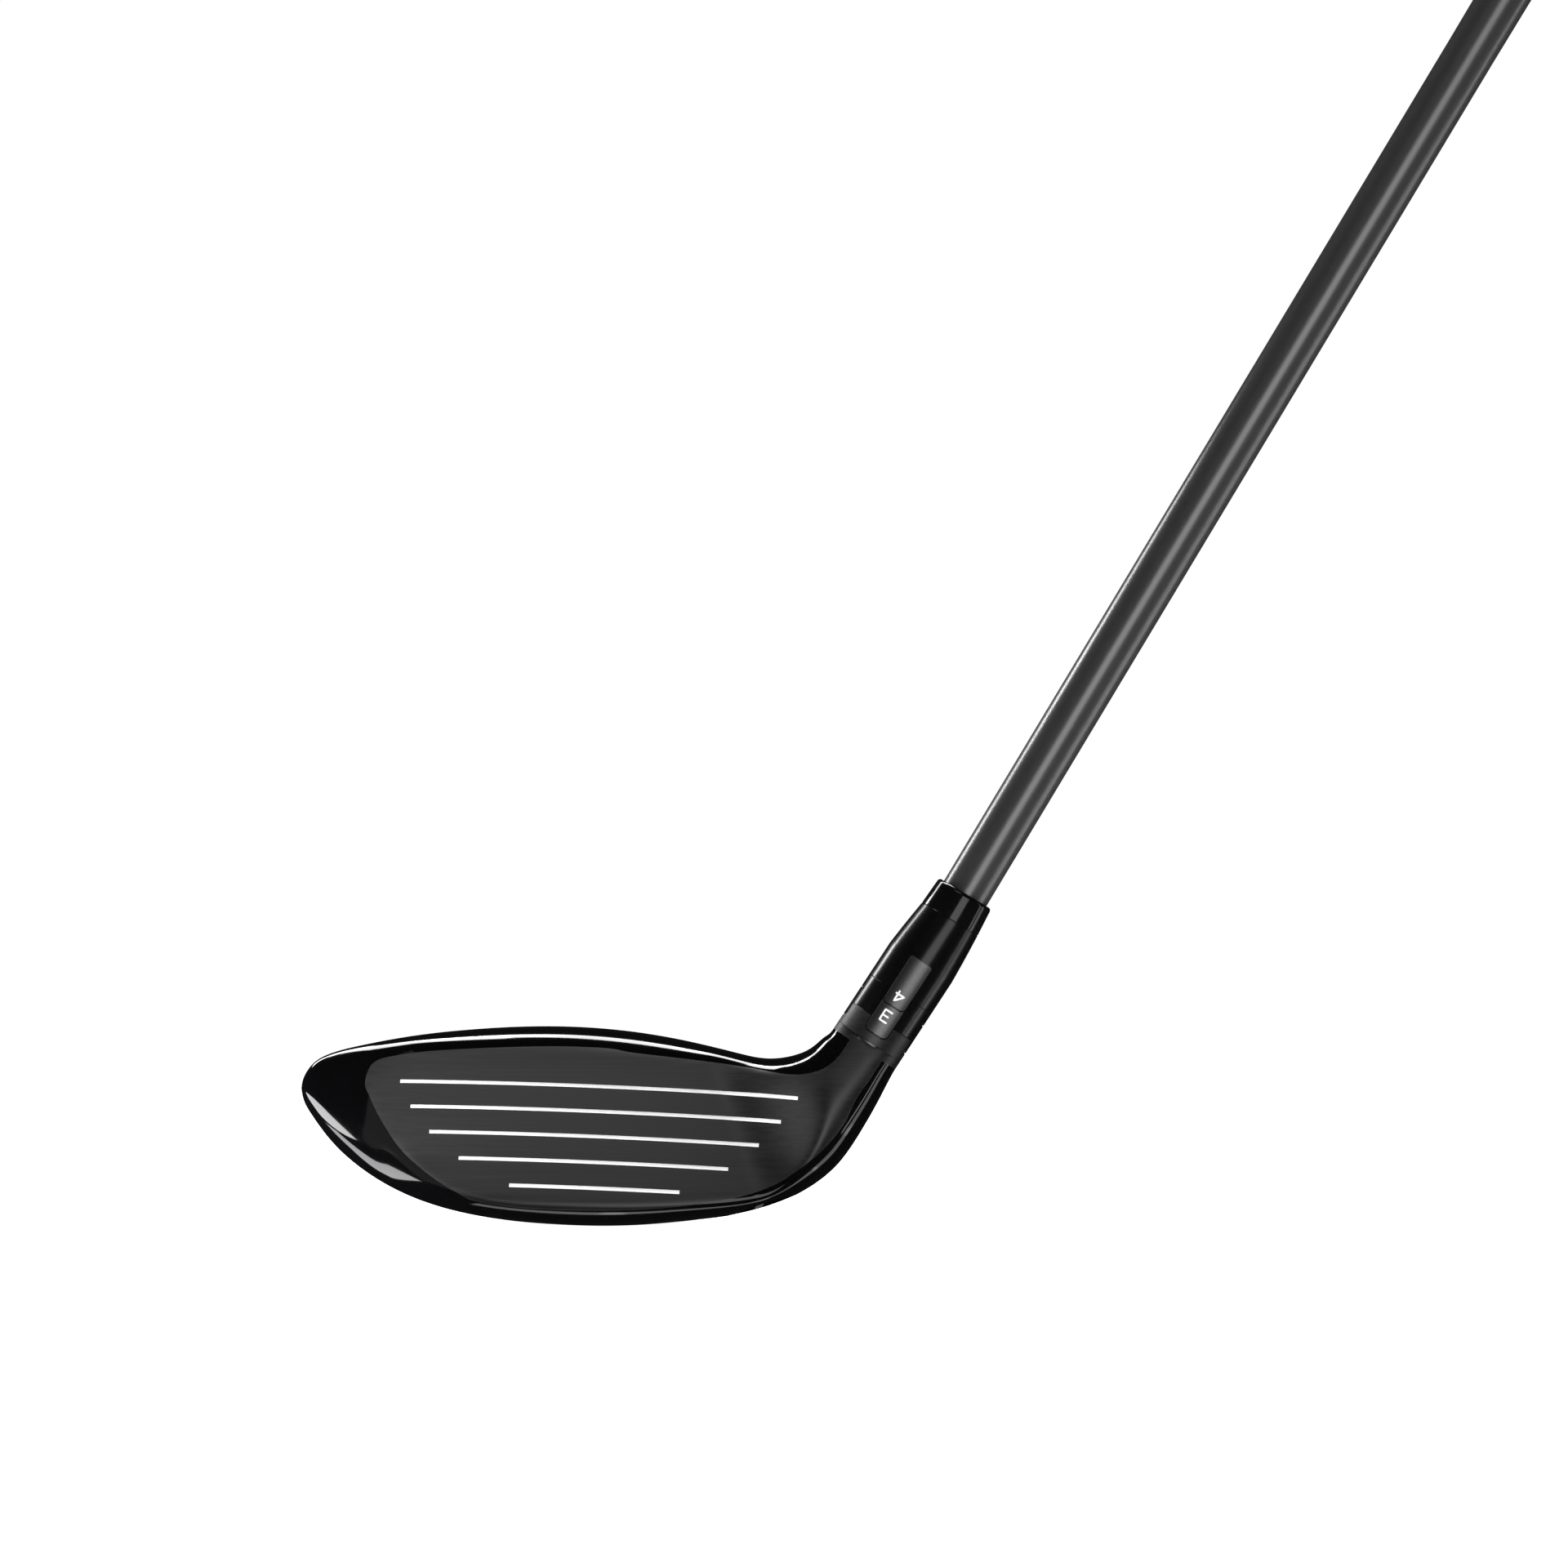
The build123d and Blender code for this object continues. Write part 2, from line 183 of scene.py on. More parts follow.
def soften(profile, radius, steps=4):
    """A closed profile with its corners rounded."""
    out = []
    n = len(profile)
    for i in range(n):
        here = np.array(profile[i], float)
        before = np.array(profile[i - 1], float) - here
        after = np.array(profile[(i + 1) % n], float) - here
        reach = min(radius, 0.45 * np.linalg.norm(before), 0.45 * np.linalg.norm(after))
        start = here + before / max(np.linalg.norm(before), 1e-9) * reach
        end = here + after / max(np.linalg.norm(after), 1e-9) * reach
        if here[0] <= 1e-9:
            out.append(tuple(here))
            continue
        for k in range(steps + 1):
            t = k / steps
            out.append(tuple((1 - t) ** 2 * start + 2 * t * (1 - t) * here + t * t * end))
    return out


def turned(name, profile, place, radius=0.15, segments=96):
    """A solid of revolution from a closed (radius, height) profile with softened corners."""
    turn = np.linspace(0, 2 * math.pi, segments, endpoint=False)
    profile = soften(profile, radius)
    open_ends = profile[0][0] <= 1e-9
    if open_ends:
        profile = [(max(r, 1e-4), h) for r, h in profile]
    rows = [point_on(place, np.full(segments, r), turn, np.full(segments, h)) for r, h in profile]
    caps = ("start", "end") if open_ends else ()
    return mesh_from_rows(name, rows, wrap_rows=not open_ends, caps=caps)


# %% [markdown]
# Finishes. Colours are written as sRGB hex and turned to linear by one function. One small
# function adds a shader node with its settings and links, and each finish is built with it.

# %% Shader helpers
def linear(hex_colour):
    values = [int(hex_colour[i:i + 2], 16) / 255 for i in (1, 3, 5)]
    return [v / 12.92 if v <= 0.04045 else ((v + 0.055) / 1.055) ** 2.4 for v in values] + [1.0]


def add(tree, kind, settings=None, **links):
    """Adds one node. settings sets its properties or sockets, and links joins other nodes'
    outputs to sockets, by name or by number: i0 is the first."""
    node = tree.nodes.new(kind)
    for key, value in (settings or {}).items():
        if key in node.inputs:
            node.inputs[key].default_value = value
        else:
            setattr(node, key, value)
    for key, source in links.items():
        by_number = key[0] == "i" and key[1:].isdigit()
        tree.links.new(source, node.inputs[int(key[1:]) if by_number else key.replace("_", " ")])
    return node


def new_finish(name):
    """An empty material with a principled shader joined to its output."""
    material = bpy.data.materials.new(name)
    material.use_nodes = True
    tree = material.node_tree
    tree.nodes.clear()
    output = tree.nodes.new("ShaderNodeOutputMaterial")
    shader = tree.nodes.new("ShaderNodeBsdfPrincipled")
    tree.links.new(shader.outputs[0], output.inputs[0])
    return material, tree, shader


def place_on(tree, scale):
    """Object coordinates in metres, scaled by features per metre on each axis."""
    coords = add(tree, "ShaderNodeTexCoord")
    return add(tree, "ShaderNodeMapping", {"Scale": scale}, Vector=coords.outputs["Object"]).outputs[0]


def noise(tree, per_metre, detail, rough=0.5):
    """Noise, by features per metre on each axis or on all three."""
    scale = per_metre if isinstance(per_metre, tuple) else (per_metre,) * 3
    settings = {"Scale": 1.0, "Detail": detail, "Roughness": rough}
    return add(tree, "ShaderNodeTexNoise", settings, Vector=place_on(tree, scale)).outputs[0]


def ramp(tree, source, low, high, to_low, to_high):
    """Carries a range of values over to another range."""
    settings = {"From Min": low, "From Max": high, "To Min": to_low, "To Max": to_high}
    return add(tree, "ShaderNodeMapRange", settings, Value=source).outputs[0]


def colour_sockets(sockets):
    return [socket for socket in sockets if socket.type == "RGBA"]


def mix_colours(tree, share, first, second):
    """Mixes two colours. Each is a hex colour or another node's output."""
    node = add(tree, "ShaderNodeMix", {"data_type": "RGBA"}, i0=share)
    for socket, colour in zip(colour_sockets(node.inputs), (first, second)):
        if isinstance(colour, str):
            socket.default_value = linear(colour)
        else:
            tree.links.new(colour, socket)
    return colour_sockets(node.outputs)[0]


def bump(tree, height, distance, strength=1.0):
    settings = {"Strength": strength, "Distance": distance}
    return add(tree, "ShaderNodeBump", settings, Height=height).outputs[0]


# %% [markdown]
# The head is one smooth form: sections that start at the toe's tip, swell into the body and
# turn about the crotch until they are the round hosel. Each section is four quarter ellipses.

# %% Head sections
TOE_TIP = (-58.45, 9.0, 26.1)
STATIONS = [
    ((-58.0, 28.2), (-58.0, 23.6), 6.7, 13.0, 9.0, 9.0, 0.50),
    ((-56.5, 30.45), (-56.5, 20.9), 4.4, 18.5, 9.3, 8.8, 0.50),
    ((-53.4, 32.4), (-53.4, 16.7), 2.3, 25.0, 9.6, 8.0, 0.48),
    ((-47.2, 34.1), (-47.2, 11.0), 0.6, 33.0, 10.4, 5.5, 0.45),
    ((-38.0, 35.8), (-38.0, 5.8), -4.0, 41.0, 11.4, 2.0, 0.42),
    ((-25.5, 37.16), (-25.5, 2.1), -11.0, 47.5, 12.2, 0.5, 0.40),
    ((-10.0, 37.7), (-10.0, 0.34), -13.0, 50.0, 12.5, 0.0, 0.40),
    ((4.0, 36.75), (5.0, 0.2), -13.2, 49.5, 12.3, 0.0, 0.40),
    ((15.0, 34.9), (18.0, 1.35), -12.8, 46.0, 11.2, 0.0, 0.41),
    ((24.0, 32.8), (29.0, 3.3), -11.8, 39.5, 9.0, 0.0, 0.43),
    ((30.2, 31.7), (37.5, 7.0), -10.3, 31.0, 6.4, 0.0, 0.45),
    ((35.0, 32.3), (43.6, 11.9), -9.0, 22.0, 3.8, 0.0, 0.47),
    ((38.6, 33.9), (48.0, 18.2), -8.0, 14.0, 1.8, 0.0, 0.49),
    ((41.0, 35.9), (51.6, 24.6), -7.3, 9.0, 0.6, 0.0, 0.50),
]
COLLAR_LOW = -4.5           # from here up the collar is a turned tube
COLLAR_ROWS = (-6.2, -5.4, COLLAR_LOW)
FACE_CENTRE = (-3.0, -3.6, 18.0)
FACE_BULGE = 280.0
LOFT = math.radians(21.0)
HEEL_BLEND = 15.0
HEEL_BLEND_SPAN = (23.0, 55.0)
BROW_R = 14.0
EDGE_LOW = 1.1
EDGE_TOP = 2.2
EDGE_SPAN = (24.0, 35.0)    # the face's edge softens from low to top between these heights
TOE_SPAN = (42.0, 55.0)     # over this reach towards the toe the face rolls into the rim
TOE_FORWARD = 3.0
TOE_ROUND = 5.0


def station_values():
    """One row of numbers per station, from the toe's tip to the foot of the hosel collar."""
    x, y, z = TOE_TIP
    table = [(x, z, x, z, y, y, y, y, 0.5)]
    for crown, sole, *rest in STATIONS:
        table.append((*crown, *sole, *rest))
    for height in COLLAR_ROWS:
        centre = RIM + HOSEL_DIR * height
        side = np.array([-HOSEL_DIR[2], 0.0, HOSEL_DIR[0]]) * HOSEL_R
        crown, sole = centre + side, centre - side
        table.append((crown[0], crown[2], sole[0], sole[2], -HOSEL_R, HOSEL_R, 0.0, 0.0, 0.5))
    return np.array(table)


def mirrored_about_tip(table):
    """Adds the first stations again on the far side of the tip, crown for sole and front for back."""
    ghost = table[1:4][::-1].copy()
    ghost[:, [0, 1, 2, 3]] = ghost[:, [2, 3, 0, 1]]
    ghost[:, [4, 5]] = ghost[:, [5, 4]]
    ghost[:, [6, 7]] = ghost[:, [7, 6]]
    return np.vstack([ghost, table])


def cubic_through(knots, values, at):
    """A natural cubic spline through the values."""
    n = len(knots)
    step = np.diff(knots)
    system = np.eye(n)
    right = np.zeros((n, values.shape[1]))
    for i in range(1, n - 1):
        system[i, i - 1:i + 2] = step[i - 1], 2 * (step[i - 1] + step[i]), step[i]
        right[i] = 6 * ((values[i + 1] - values[i]) / step[i] - (values[i] - values[i - 1]) / step[i - 1])
    bend = np.linalg.solve(system, right)
    i = np.clip(np.searchsorted(knots, at, side="right") - 1, 0, n - 2)
    h = step[i][:, None]
    a = (knots[i + 1] - at)[:, None] / h
    b = (at - knots[i])[:, None] / h
    curve = ((a ** 3 - a) * bend[i] + (b ** 3 - b) * bend[i + 1]) * h * h / 6
    return a * values[i] + b * values[i + 1] + curve


def smooth_step(value, low, high):
    """Rises smoothly from 0 at low to 1 at high."""
    t = np.clip((value - low) / (high - low), 0, 1)
    return t * t * (3 - 2 * t)


def face_y(x, z):
    """The face: a lofted plane with bulge and roll, which fades forwards into the hosel."""
    dx = x - FACE_CENTRE[0]
    dz = z - FACE_CENTRE[2]
    plane_y = FACE_CENTRE[1] + dz * math.tan(LOFT) + (dx * dx + dz * dz) / (2 * FACE_BULGE)
    return plane_y - HEEL_BLEND * smooth_step(x + 0.35 * dz, *HEEL_BLEND_SPAN)


def head_points(rows, around):
    """The head's surface as rows of points, with the face flattened and its edges rounded."""
    table = mirrored_about_tip(station_values())
    gaps = np.linalg.norm(np.diff(table[:, :4], axis=0), axis=1)
    knots = np.concatenate([[0], np.cumsum(gaps)])
    start = knots[3]
    share = np.linspace(0, 1, rows)
    at = start + (knots[-1] - start) * (0.12 * share ** 2 + 0.88 * share)
    values = cubic_through(knots, table, at)
    turn = np.linspace(0, 2 * math.pi, around, endpoint=False)
    c, s = np.cos(turn), np.sin(turn)
    low = np.stack([values[:, 2], values[:, 2] * 0, values[:, 3]], 1)[:, None, :]
    high = np.stack([values[:, 0], values[:, 2] * 0, values[:, 1]], 1)[:, None, :]
    rise = high - low
    front, back, y_crown, y_sole, back_share = (values[:, k][:, None] for k in range(4, 9))
    toe = smooth_step(-values[:, 0], *TOE_SPAN)[:, None]
    front = front - TOE_FORWARD * toe
    y_mid = np.where(s > 0, y_crown, y_sole)
    level = back_share * (1 + c) / 2 + (0.5 * back_share + 0.2) * (1 - c) / 2
    part = np.where(s > 0, 1 - level, level)
    points = low + rise * (level + part * s)[..., None]
    reach = np.where(c > 0, back - y_mid, y_mid - front)
    height = np.linalg.norm(rise, axis=2) * part
    brow = np.minimum(reach, np.sqrt(BROW_R * height))
    reach = np.where((s > 0) & (c < 0), reach + (brow - reach) * smooth_step(s, 0.35, 0.75), reach)
    y = y_mid + reach * c
    flat = face_y(points[..., 0], points[..., 2])
    edge = EDGE_LOW + (EDGE_TOP - EDGE_LOW) * smooth_step(points[..., 2], *EDGE_SPAN) + TOE_ROUND * toe
    gap = y - flat
    soft = flat + 0.5 * (gap + np.sqrt(gap * gap + edge * edge))
    blend = smooth_step(gap, 3.0, 12.0)
    points[..., 1] = soft * (1 - blend) + y * blend
    return points


# %% [markdown]
# The gloss black lacquer stops at a masked line round the satin face and hosel front. The mesh
# carries the distance to that line as an attribute, so the paint edge is crisp at any zoom.

# %% Paint line
SATIN_OUTLINE = [
    (-46.2, 27.3), (-44.6, 30.9), (-40.0, 32.3), (-31.1, 33.3), (-13.3, 34.0), (-0.8, 33.7),
    (4.8, 32.8), (16.7, 31.4), (26.2, 30.1), (33.3, 28.9), (37.1, 28.9), (40.4, 29.8), (43.3, 31.9),
    (45.9, 35.6), (51.8, 31.6), (49.4, 27.8), (47.0, 24.4), (44.4, 19.2), (40.4, 14.5), (35.7, 10.7),
    (31.0, 7.8), (23.8, 5.5), (11.9, 3.8), (-0.8, 3.2), (-15.3, 3.6), (-24.8, 4.9), (-28.3, 6.4),
    (-33.4, 9.5), (-39.0, 14.3), (-42.9, 19.8), (-45.3, 24.5),
]
SATIN_COLLAR = -6.15        # the whole collar is satin above this height
COLLAR_REACH = 9.0
SATIN_DEPTH = 7.0           # how far behind the face the satin zone goes
SATIN_BACK = -1.5
BREAK_CORNERS = (13, 14)


def smooth_outline(corners, steps=6):
    """A closed curve through the points, left straight across the break at the hosel."""
    pts = np.array(corners)
    n = len(pts)
    out = []
    for i in range(n):
        a, b, c, d = pts[i - 1], pts[i], pts[(i + 1) % n], pts[(i + 2) % n]
        if i == BREAK_CORNERS[0]:
            out.append(b)
            continue
        if i == BREAK_CORNERS[0] - 1:
            d = c + (c - b)
        if i == BREAK_CORNERS[1]:
            a = b - (c - b)
        for k in range(steps):
            t = k / steps
            out.append(0.5 * (2 * b + (c - a) * t + (2 * a - 5 * b + 4 * c - d) * t * t
                              + (3 * b - a - 3 * c + d) * t ** 3))
    return np.array(out)


def signed_distance(points, outline):
    """Distance to a closed outline, positive inside it."""
    start = outline
    end = np.roll(outline, -1, axis=0)
    best = np.full(len(points), 1e9)
    inside = np.zeros(len(points), bool)
    for a, b in zip(start, end):
        along = b - a
        t = np.clip(((points - a) @ along) / (along @ along), 0, 1)
        best = np.minimum(best, np.linalg.norm(points - a - t[:, None] * along, axis=1))
        crosses = (a[1] > points[:, 1]) != (b[1] > points[:, 1])
        with np.errstate(divide="ignore", invalid="ignore"):
            x_cross = a[0] + (points[:, 1] - a[1]) * along[0] / along[1]
        inside ^= crosses & (points[:, 0] < x_cross)
    return np.where(inside, best, -best)


def mark_satin(piece):
    """Stores, in millimetres, how far each point lies inside the satin zone."""
    co = points_of(piece)
    edge = signed_distance(co[:, [0, 2]], smooth_outline(SATIN_OUTLINE))
    behind = co[:, 1] - np.maximum(face_y(co[:, 0], co[:, 2]) + SATIN_DEPTH, SATIN_BACK)
    edge = np.minimum(edge, -behind)
    along_hosel = (co - RIM) @ HOSEL_DIR
    near_axis = np.linalg.norm((co - RIM) - along_hosel[:, None] * HOSEL_DIR, axis=1)
    collar = np.minimum(along_hosel - SATIN_COLLAR, COLLAR_REACH - near_axis)
    store(piece, "satin_edge", np.maximum(edge, collar))


# %% [markdown]
# Three finishes make the head: deep black lacquer, dark satin steel with a brushed grain that
# runs heel to toe, and the white paint of the score lines.

# %% Head finishes
def black_lacquer_over_satin_steel():
    # Cast stainless head: brushed and ion-plated dark, then masked and lacquered gloss black.
    material, tree, shader = new_finish("black_lacquer_and_satin_steel")
    edge = add(tree, "ShaderNodeAttribute", {"attribute_name": "satin_edge"}).outputs["Fac"]
    satin = ramp(tree, edge, -0.05, 0.05, 0.0, 1.0)
    # Long fine scratches: noise stretched along the brushing direction.
    grain = noise(tree, (14.0, 900.0, 2600.0), 4.0, 0.65)
    broad = noise(tree, (3.0, 60.0, 120.0), 4.0, 0.65)
    both = add(tree, "ShaderNodeMath", {"operation": "MULTIPLY"}, i0=grain, i1=broad).outputs[0]
    steel = mix_colours(tree, ramp(tree, both, 0.12, 0.42, 0.0, 1.0), "#515151", "#5f5f5f")
    tree.links.new(mix_colours(tree, satin, "#050506", steel), shader.inputs["Base Color"])
    tree.links.new(satin, shader.inputs["Metallic"])
    satin_rough = ramp(tree, both, 0.12, 0.42, 0.40, 0.52)
    rough = add(tree, "ShaderNodeMix", {"data_type": "FLOAT"}, Factor=satin)
    rough.inputs[2].default_value = 0.07
    tree.links.new(satin_rough, rough.inputs[3])
    tree.links.new(rough.outputs[0], shader.inputs["Roughness"])
    height = add(tree, "ShaderNodeMath", {"operation": "MULTIPLY"}, i0=grain, i1=satin).outputs[0]
    tree.links.new(bump(tree, height, 0.000006, 0.4), shader.inputs["Normal"])
    return material


def white_paint_fill():
    # Enamel wiped into the score lines: slightly uneven, with a soft sheen.
    material, tree, shader = new_finish("white_paint_fill")
    mottle = noise(tree, 900.0, 2.0)
    tree.links.new(mix_colours(tree, mottle, "#f4f4f2", "#ffffff"), shader.inputs["Base Color"])
    shader.inputs["Roughness"].default_value = 0.5
    return material


head_finish = black_lacquer_over_satin_steel()
white_paint = white_paint_fill()
print("head finishes", head_finish.name, "and", white_paint.name)

# %% [markdown]
# The skin is one closed form. Rows of points carry on over the hosel's end and down its bore,
# and two ports are cut in it: one for the hosel screw, one for the sole weight.

# %% Head skin
# Each port is its radius, and its lower and upper end along its axis.
SCREW_PORT = (4.3, -60.0, -30.8)
WEIGHT_SPOT = np.array([-6.0, 34.0, 4.1])
WEIGHT_SLOPE = math.radians(15.0)
WEIGHT = (WEIGHT_SPOT, np.array([0.0, -math.sin(WEIGHT_SLOPE), math.cos(WEIGHT_SLOPE)]))
WEIGHT_PORT = (7.0, -10.0, 5.6)
BORE = ((BORE_R, COLLAR_LOW), (BORE_R, -6.4), (LOW_BORE_R, -6.6), (LOW_BORE_R, -27.8))


def across_axis(place):
    """Any direction square to a place's axis."""
    side = np.cross(place[1], np.array([1.0, 0.0, 0.0]))
    return side / np.linalg.norm(side)


def cut_port(piece, place, radius, low, high, segments=72):
    """Cuts a round port with an exact boolean."""
    first = across_axis(place)
    second = np.cross(place[1], first)
    turn = np.linspace(0, 2 * math.pi, segments, endpoint=False)[:, None]
    ring = place[0] + radius * (np.cos(turn) * first + np.sin(turn) * second)
    rows = [ring + place[1] * low, ring + place[1] * high]
    cutter = mesh_from_rows("port_cutter", rows, caps=("start", "end"))
    face_outwards(cutter)
    modifier = piece.modifiers.new("port", "BOOLEAN")
    modifier.operation = "DIFFERENCE"
    modifier.solver = "EXACT"
    modifier.object = cutter
    cut = evaluated_mesh(piece)
    piece.modifiers.clear()
    piece.data = cut
    bpy.data.objects.remove(cutter)


head_rows = list(head_points(rows=250, around=240))
collar_foot = head_rows[-1]
foot_centre = RIM + HOSEL_DIR * COLLAR_LOW
for bore_r, bore_height in BORE:
    head_rows.append(RIM + HOSEL_DIR * bore_height + (collar_foot - foot_centre) * bore_r / HOSEL_R)
head_skin = mesh_from_rows("head_skin", head_rows, caps=("end",))
face_outwards(head_skin)
cut_port(head_skin, HOSEL, *SCREW_PORT)
cut_port(head_skin, WEIGHT, *WEIGHT_PORT)
mark_satin(head_skin)
head_nodes = ("head_body", "crown_plate", "face_plate")
finish_piece(head_skin, "head", head_finish, head_nodes, sharp=50)

# %% [markdown]
# Score lines follow the curved face. A Geometry Nodes tree drops each line onto the skin with
# rays, and sweeps a round bead whose crown alone stands out, as paint wiped into a groove does.

# %% Score lines
# Each line is its middle along X, half its length, and its height.
SCORE_LINES = [
    (-1.8, 37.7, 25.9),
    (-2.4, 35.1, 21.3),
    (-2.7, 31.2, 16.7),
    (-2.8, 25.5, 12.0),
    (-2.6, 16.1, 7.3),
]
SCORE_SLOPE = math.tan(math.radians(-2.36))
SCORE_WIDTH = 0.75
SCORE_CROWN = 0.06
SCORE_SAG = 0.6 / 37.7 ** 2
SCORE_STEP = 0.4
SCORE_HALF_STEPS = 20
RAY_START = -60.0           # the rays leave from here, in front of the face, along Y


def new_tree(name, sizes):
    """A Geometry Nodes tree with a geometry input and output and one named input per size."""
    tree = bpy.data.node_groups.new(name, "GeometryNodeTree")
    tree.interface.new_socket("Geometry", in_out="INPUT", socket_type="NodeSocketGeometry")
    tree.interface.new_socket("Geometry", in_out="OUTPUT", socket_type="NodeSocketGeometry")
    for label, value in sizes.items():
        kind = {float: "NodeSocketFloat", int: "NodeSocketInt"}.get(type(value), "NodeSocketObject")
        tree.interface.new_socket(label, in_out="INPUT", socket_type=kind)
    return tree, tree.nodes.new("NodeGroupInput"), tree.nodes.new("NodeGroupOutput")


def run_tree(piece, tree, sizes):
    """Gives the tree its sizes by socket identifier, evaluates it and keeps a plain mesh."""
    modifier = piece.modifiers.new(tree.name, "NODES")
    modifier.node_group = tree
    for item in tree.interface.items_tree:
        if item.in_out == "INPUT" and item.name in sizes:
            modifier[item.identifier] = sizes[item.name]
    bpy.context.view_layer.update()
    made = evaluated_mesh(piece)
    piece.modifiers.clear()
    piece.data = made


def score_line_tree():
    """Drops each line onto the face with rays, and sweeps a bead along it."""
    sizes = {"Face": head_skin, "Bead Radius": 0.0, "Sink": 0.0, "Spacing": 0.0}
    tree, given, result = new_tree("score_lines", sizes)
    curve = add(tree, "GeometryNodeMeshToCurve", Mesh=given.outputs["Geometry"])
    fine = add(tree, "GeometryNodeResampleCurve", {"mode": "LENGTH"}, Curve=curve.outputs[0],
               Length=given.outputs["Spacing"])
    info = add(tree, "GeometryNodeObjectInfo", Object=given.outputs["Face"])
    ray = add(tree, "GeometryNodeRaycast", {"Ray Direction": (0, 1, 0), "Ray Length": 0.1},
              Target_Geometry=info.outputs["Geometry"])
    sunk = add(tree, "ShaderNodeVectorMath", {"operation": "SCALE"}, Vector=ray.outputs["Hit Normal"],
               Scale=given.outputs["Sink"])
    spot = add(tree, "ShaderNodeVectorMath", {"operation": "SUBTRACT"}, i0=ray.outputs["Hit Position"],
               i1=sunk.outputs[0])
    laid = add(tree, "GeometryNodeSetPosition", Geometry=fine.outputs[0], Position=spot.outputs[0])
    circle = add(tree, "GeometryNodeCurvePrimitiveCircle", {"Resolution": 24},
                 Radius=given.outputs["Bead Radius"])
    bead = add(tree, "GeometryNodeCurveToMesh", {"Fill Caps": True}, Curve=laid.outputs[0],
               Profile_Curve=circle.outputs[0])
    real = add(tree, "GeometryNodeRealizeInstances", Geometry=bead.outputs[0])
    painted = add(tree, "GeometryNodeSetMaterial", {"Material": white_paint}, Geometry=real.outputs[0])
    tree.links.new(painted.outputs[0], result.inputs[0])
    return tree, sizes


line_points = []
line_edges = []
for centre_x, half, centre_z in SCORE_LINES:
    first = len(line_points)
    for k in range(-SCORE_HALF_STEPS, SCORE_HALF_STEPS + 1):
        reach = half * k / SCORE_HALF_STEPS
        drop = SCORE_SLOPE * reach + SCORE_SAG * (half * half - reach * reach)
        line_points.append(((centre_x + reach) * MM, RAY_START * MM, (centre_z + drop) * MM))
    line_edges += [(i, i + 1) for i in range(first, len(line_points) - 1)]
score_mesh = bpy.data.meshes.new("score_lines")
score_mesh.from_pydata(line_points, line_edges, [])
score_lines = new_piece("score_lines", score_mesh)
bead_r = ((SCORE_WIDTH / 2) ** 2 + SCORE_CROWN ** 2) / (2 * SCORE_CROWN)
line_tree, line_sizes = score_line_tree()
line_sizes["Bead Radius"] = bead_r * MM
line_sizes["Sink"] = (bead_r - SCORE_CROWN) * MM
line_sizes["Spacing"] = SCORE_STEP * MM
run_tree(score_lines, line_tree, line_sizes)
finish_piece(score_lines, "head", white_paint, ("score_line_fill",))

# %% [markdown]
# The adjustable hosel is turned aluminium, anodised gloss black. The ring's tabs lock in notches
# of the hosel, and the sleeve's tabs lock in the ring. A band of satin shows on the front tabs.

# %% Indexed tubes
TAB_TURNS = np.radians([0, 90, 180, 270])
CHAMFER = 0.08


def tab_depth(turn, width, drop, corner):
    """How far an edge dips at a turn: the full drop inside a tab, with round corners."""
    depth = np.zeros_like(turn)
    for centre in TAB_TURNS:
        away = (turn - centre + math.pi) % (2 * math.pi) - math.pi
        x = np.abs(HOSEL_R * np.sin(away))
        near = (np.abs(away) < math.pi / 2) & (x <= width / 2 + 1e-6)
        past = np.clip(x - (width / 2 - corner), 0, corner)
        depth = np.where(near, drop - corner + np.sqrt(corner ** 2 - past ** 2), depth)
    return depth


def index_columns():
    """The turns at which an indexed tube needs a column of points."""
    steps = [np.radians(np.arange(0, 360, 3.0))]
    for width, corner in ((TAB_WIDTH, TAB_CORNER), (TAB_WIDTH + 2 * TAB_GAP, TAB_CORNER + TAB_GAP)):
        arc = width / 2 - corner * (1 - np.cos(np.radians(np.arange(0, 91, 15))))
        reach = np.arcsin(np.concatenate([[width / 2 + 0.015], arc]) / HOSEL_R)
        for centre in TAB_TURNS:
            steps += [centre + reach, centre - reach]
    return np.unique(np.round(np.concatenate(steps) % (2 * math.pi), 5))


COLUMNS = index_columns()
TABS = tab_depth(COLUMNS, TAB_WIDTH, TAB_DROP, TAB_CORNER)
NOTCHES = tab_depth(COLUMNS, TAB_WIDTH + 2 * TAB_GAP, TAB_DROP + TAB_GAP, TAB_CORNER + TAB_GAP)


def at_height(radius, height, place=HOSEL):
    """One row of points round an axis. height is one number, or one for each column."""
    ones = np.ones_like(COLUMNS)
    return point_on(place, radius * ones, COLUMNS, height * ones)


def wall(radius, low, high, steps=6):
    """Rows up one face of a tube, between two edges that may dip."""
    return [at_height(radius, low + (high - low) * k / steps) for k in range(steps + 1)]


def indexed_tube(name, inner, low, high):
    """A tube whose edges follow tabs and notches."""
    rows = [at_height(HOSEL_R - CHAMFER, low)]
    rows += wall(HOSEL_R, low + CHAMFER, high - CHAMFER)
    rows += [at_height(HOSEL_R - CHAMFER, high), at_height(inner, high), at_height(inner, low)]
    return mesh_from_rows(name, rows, wrap_rows=True)


WINDOW_HALF = 2.3
WINDOW_TOP = 13.6


def mark_window(piece):
    """Stores, in millimetres, how far each point lies inside the satin band on the front."""
    co = points_of(piece) - RIM
    side = np.cross(HOSEL_DIR, ACROSS)
    inside = np.minimum(WINDOW_HALF - np.abs(co @ side), WINDOW_TOP - co @ HOSEL_DIR)
    store(piece, "window_edge", np.minimum(inside, -co[:, 1]))


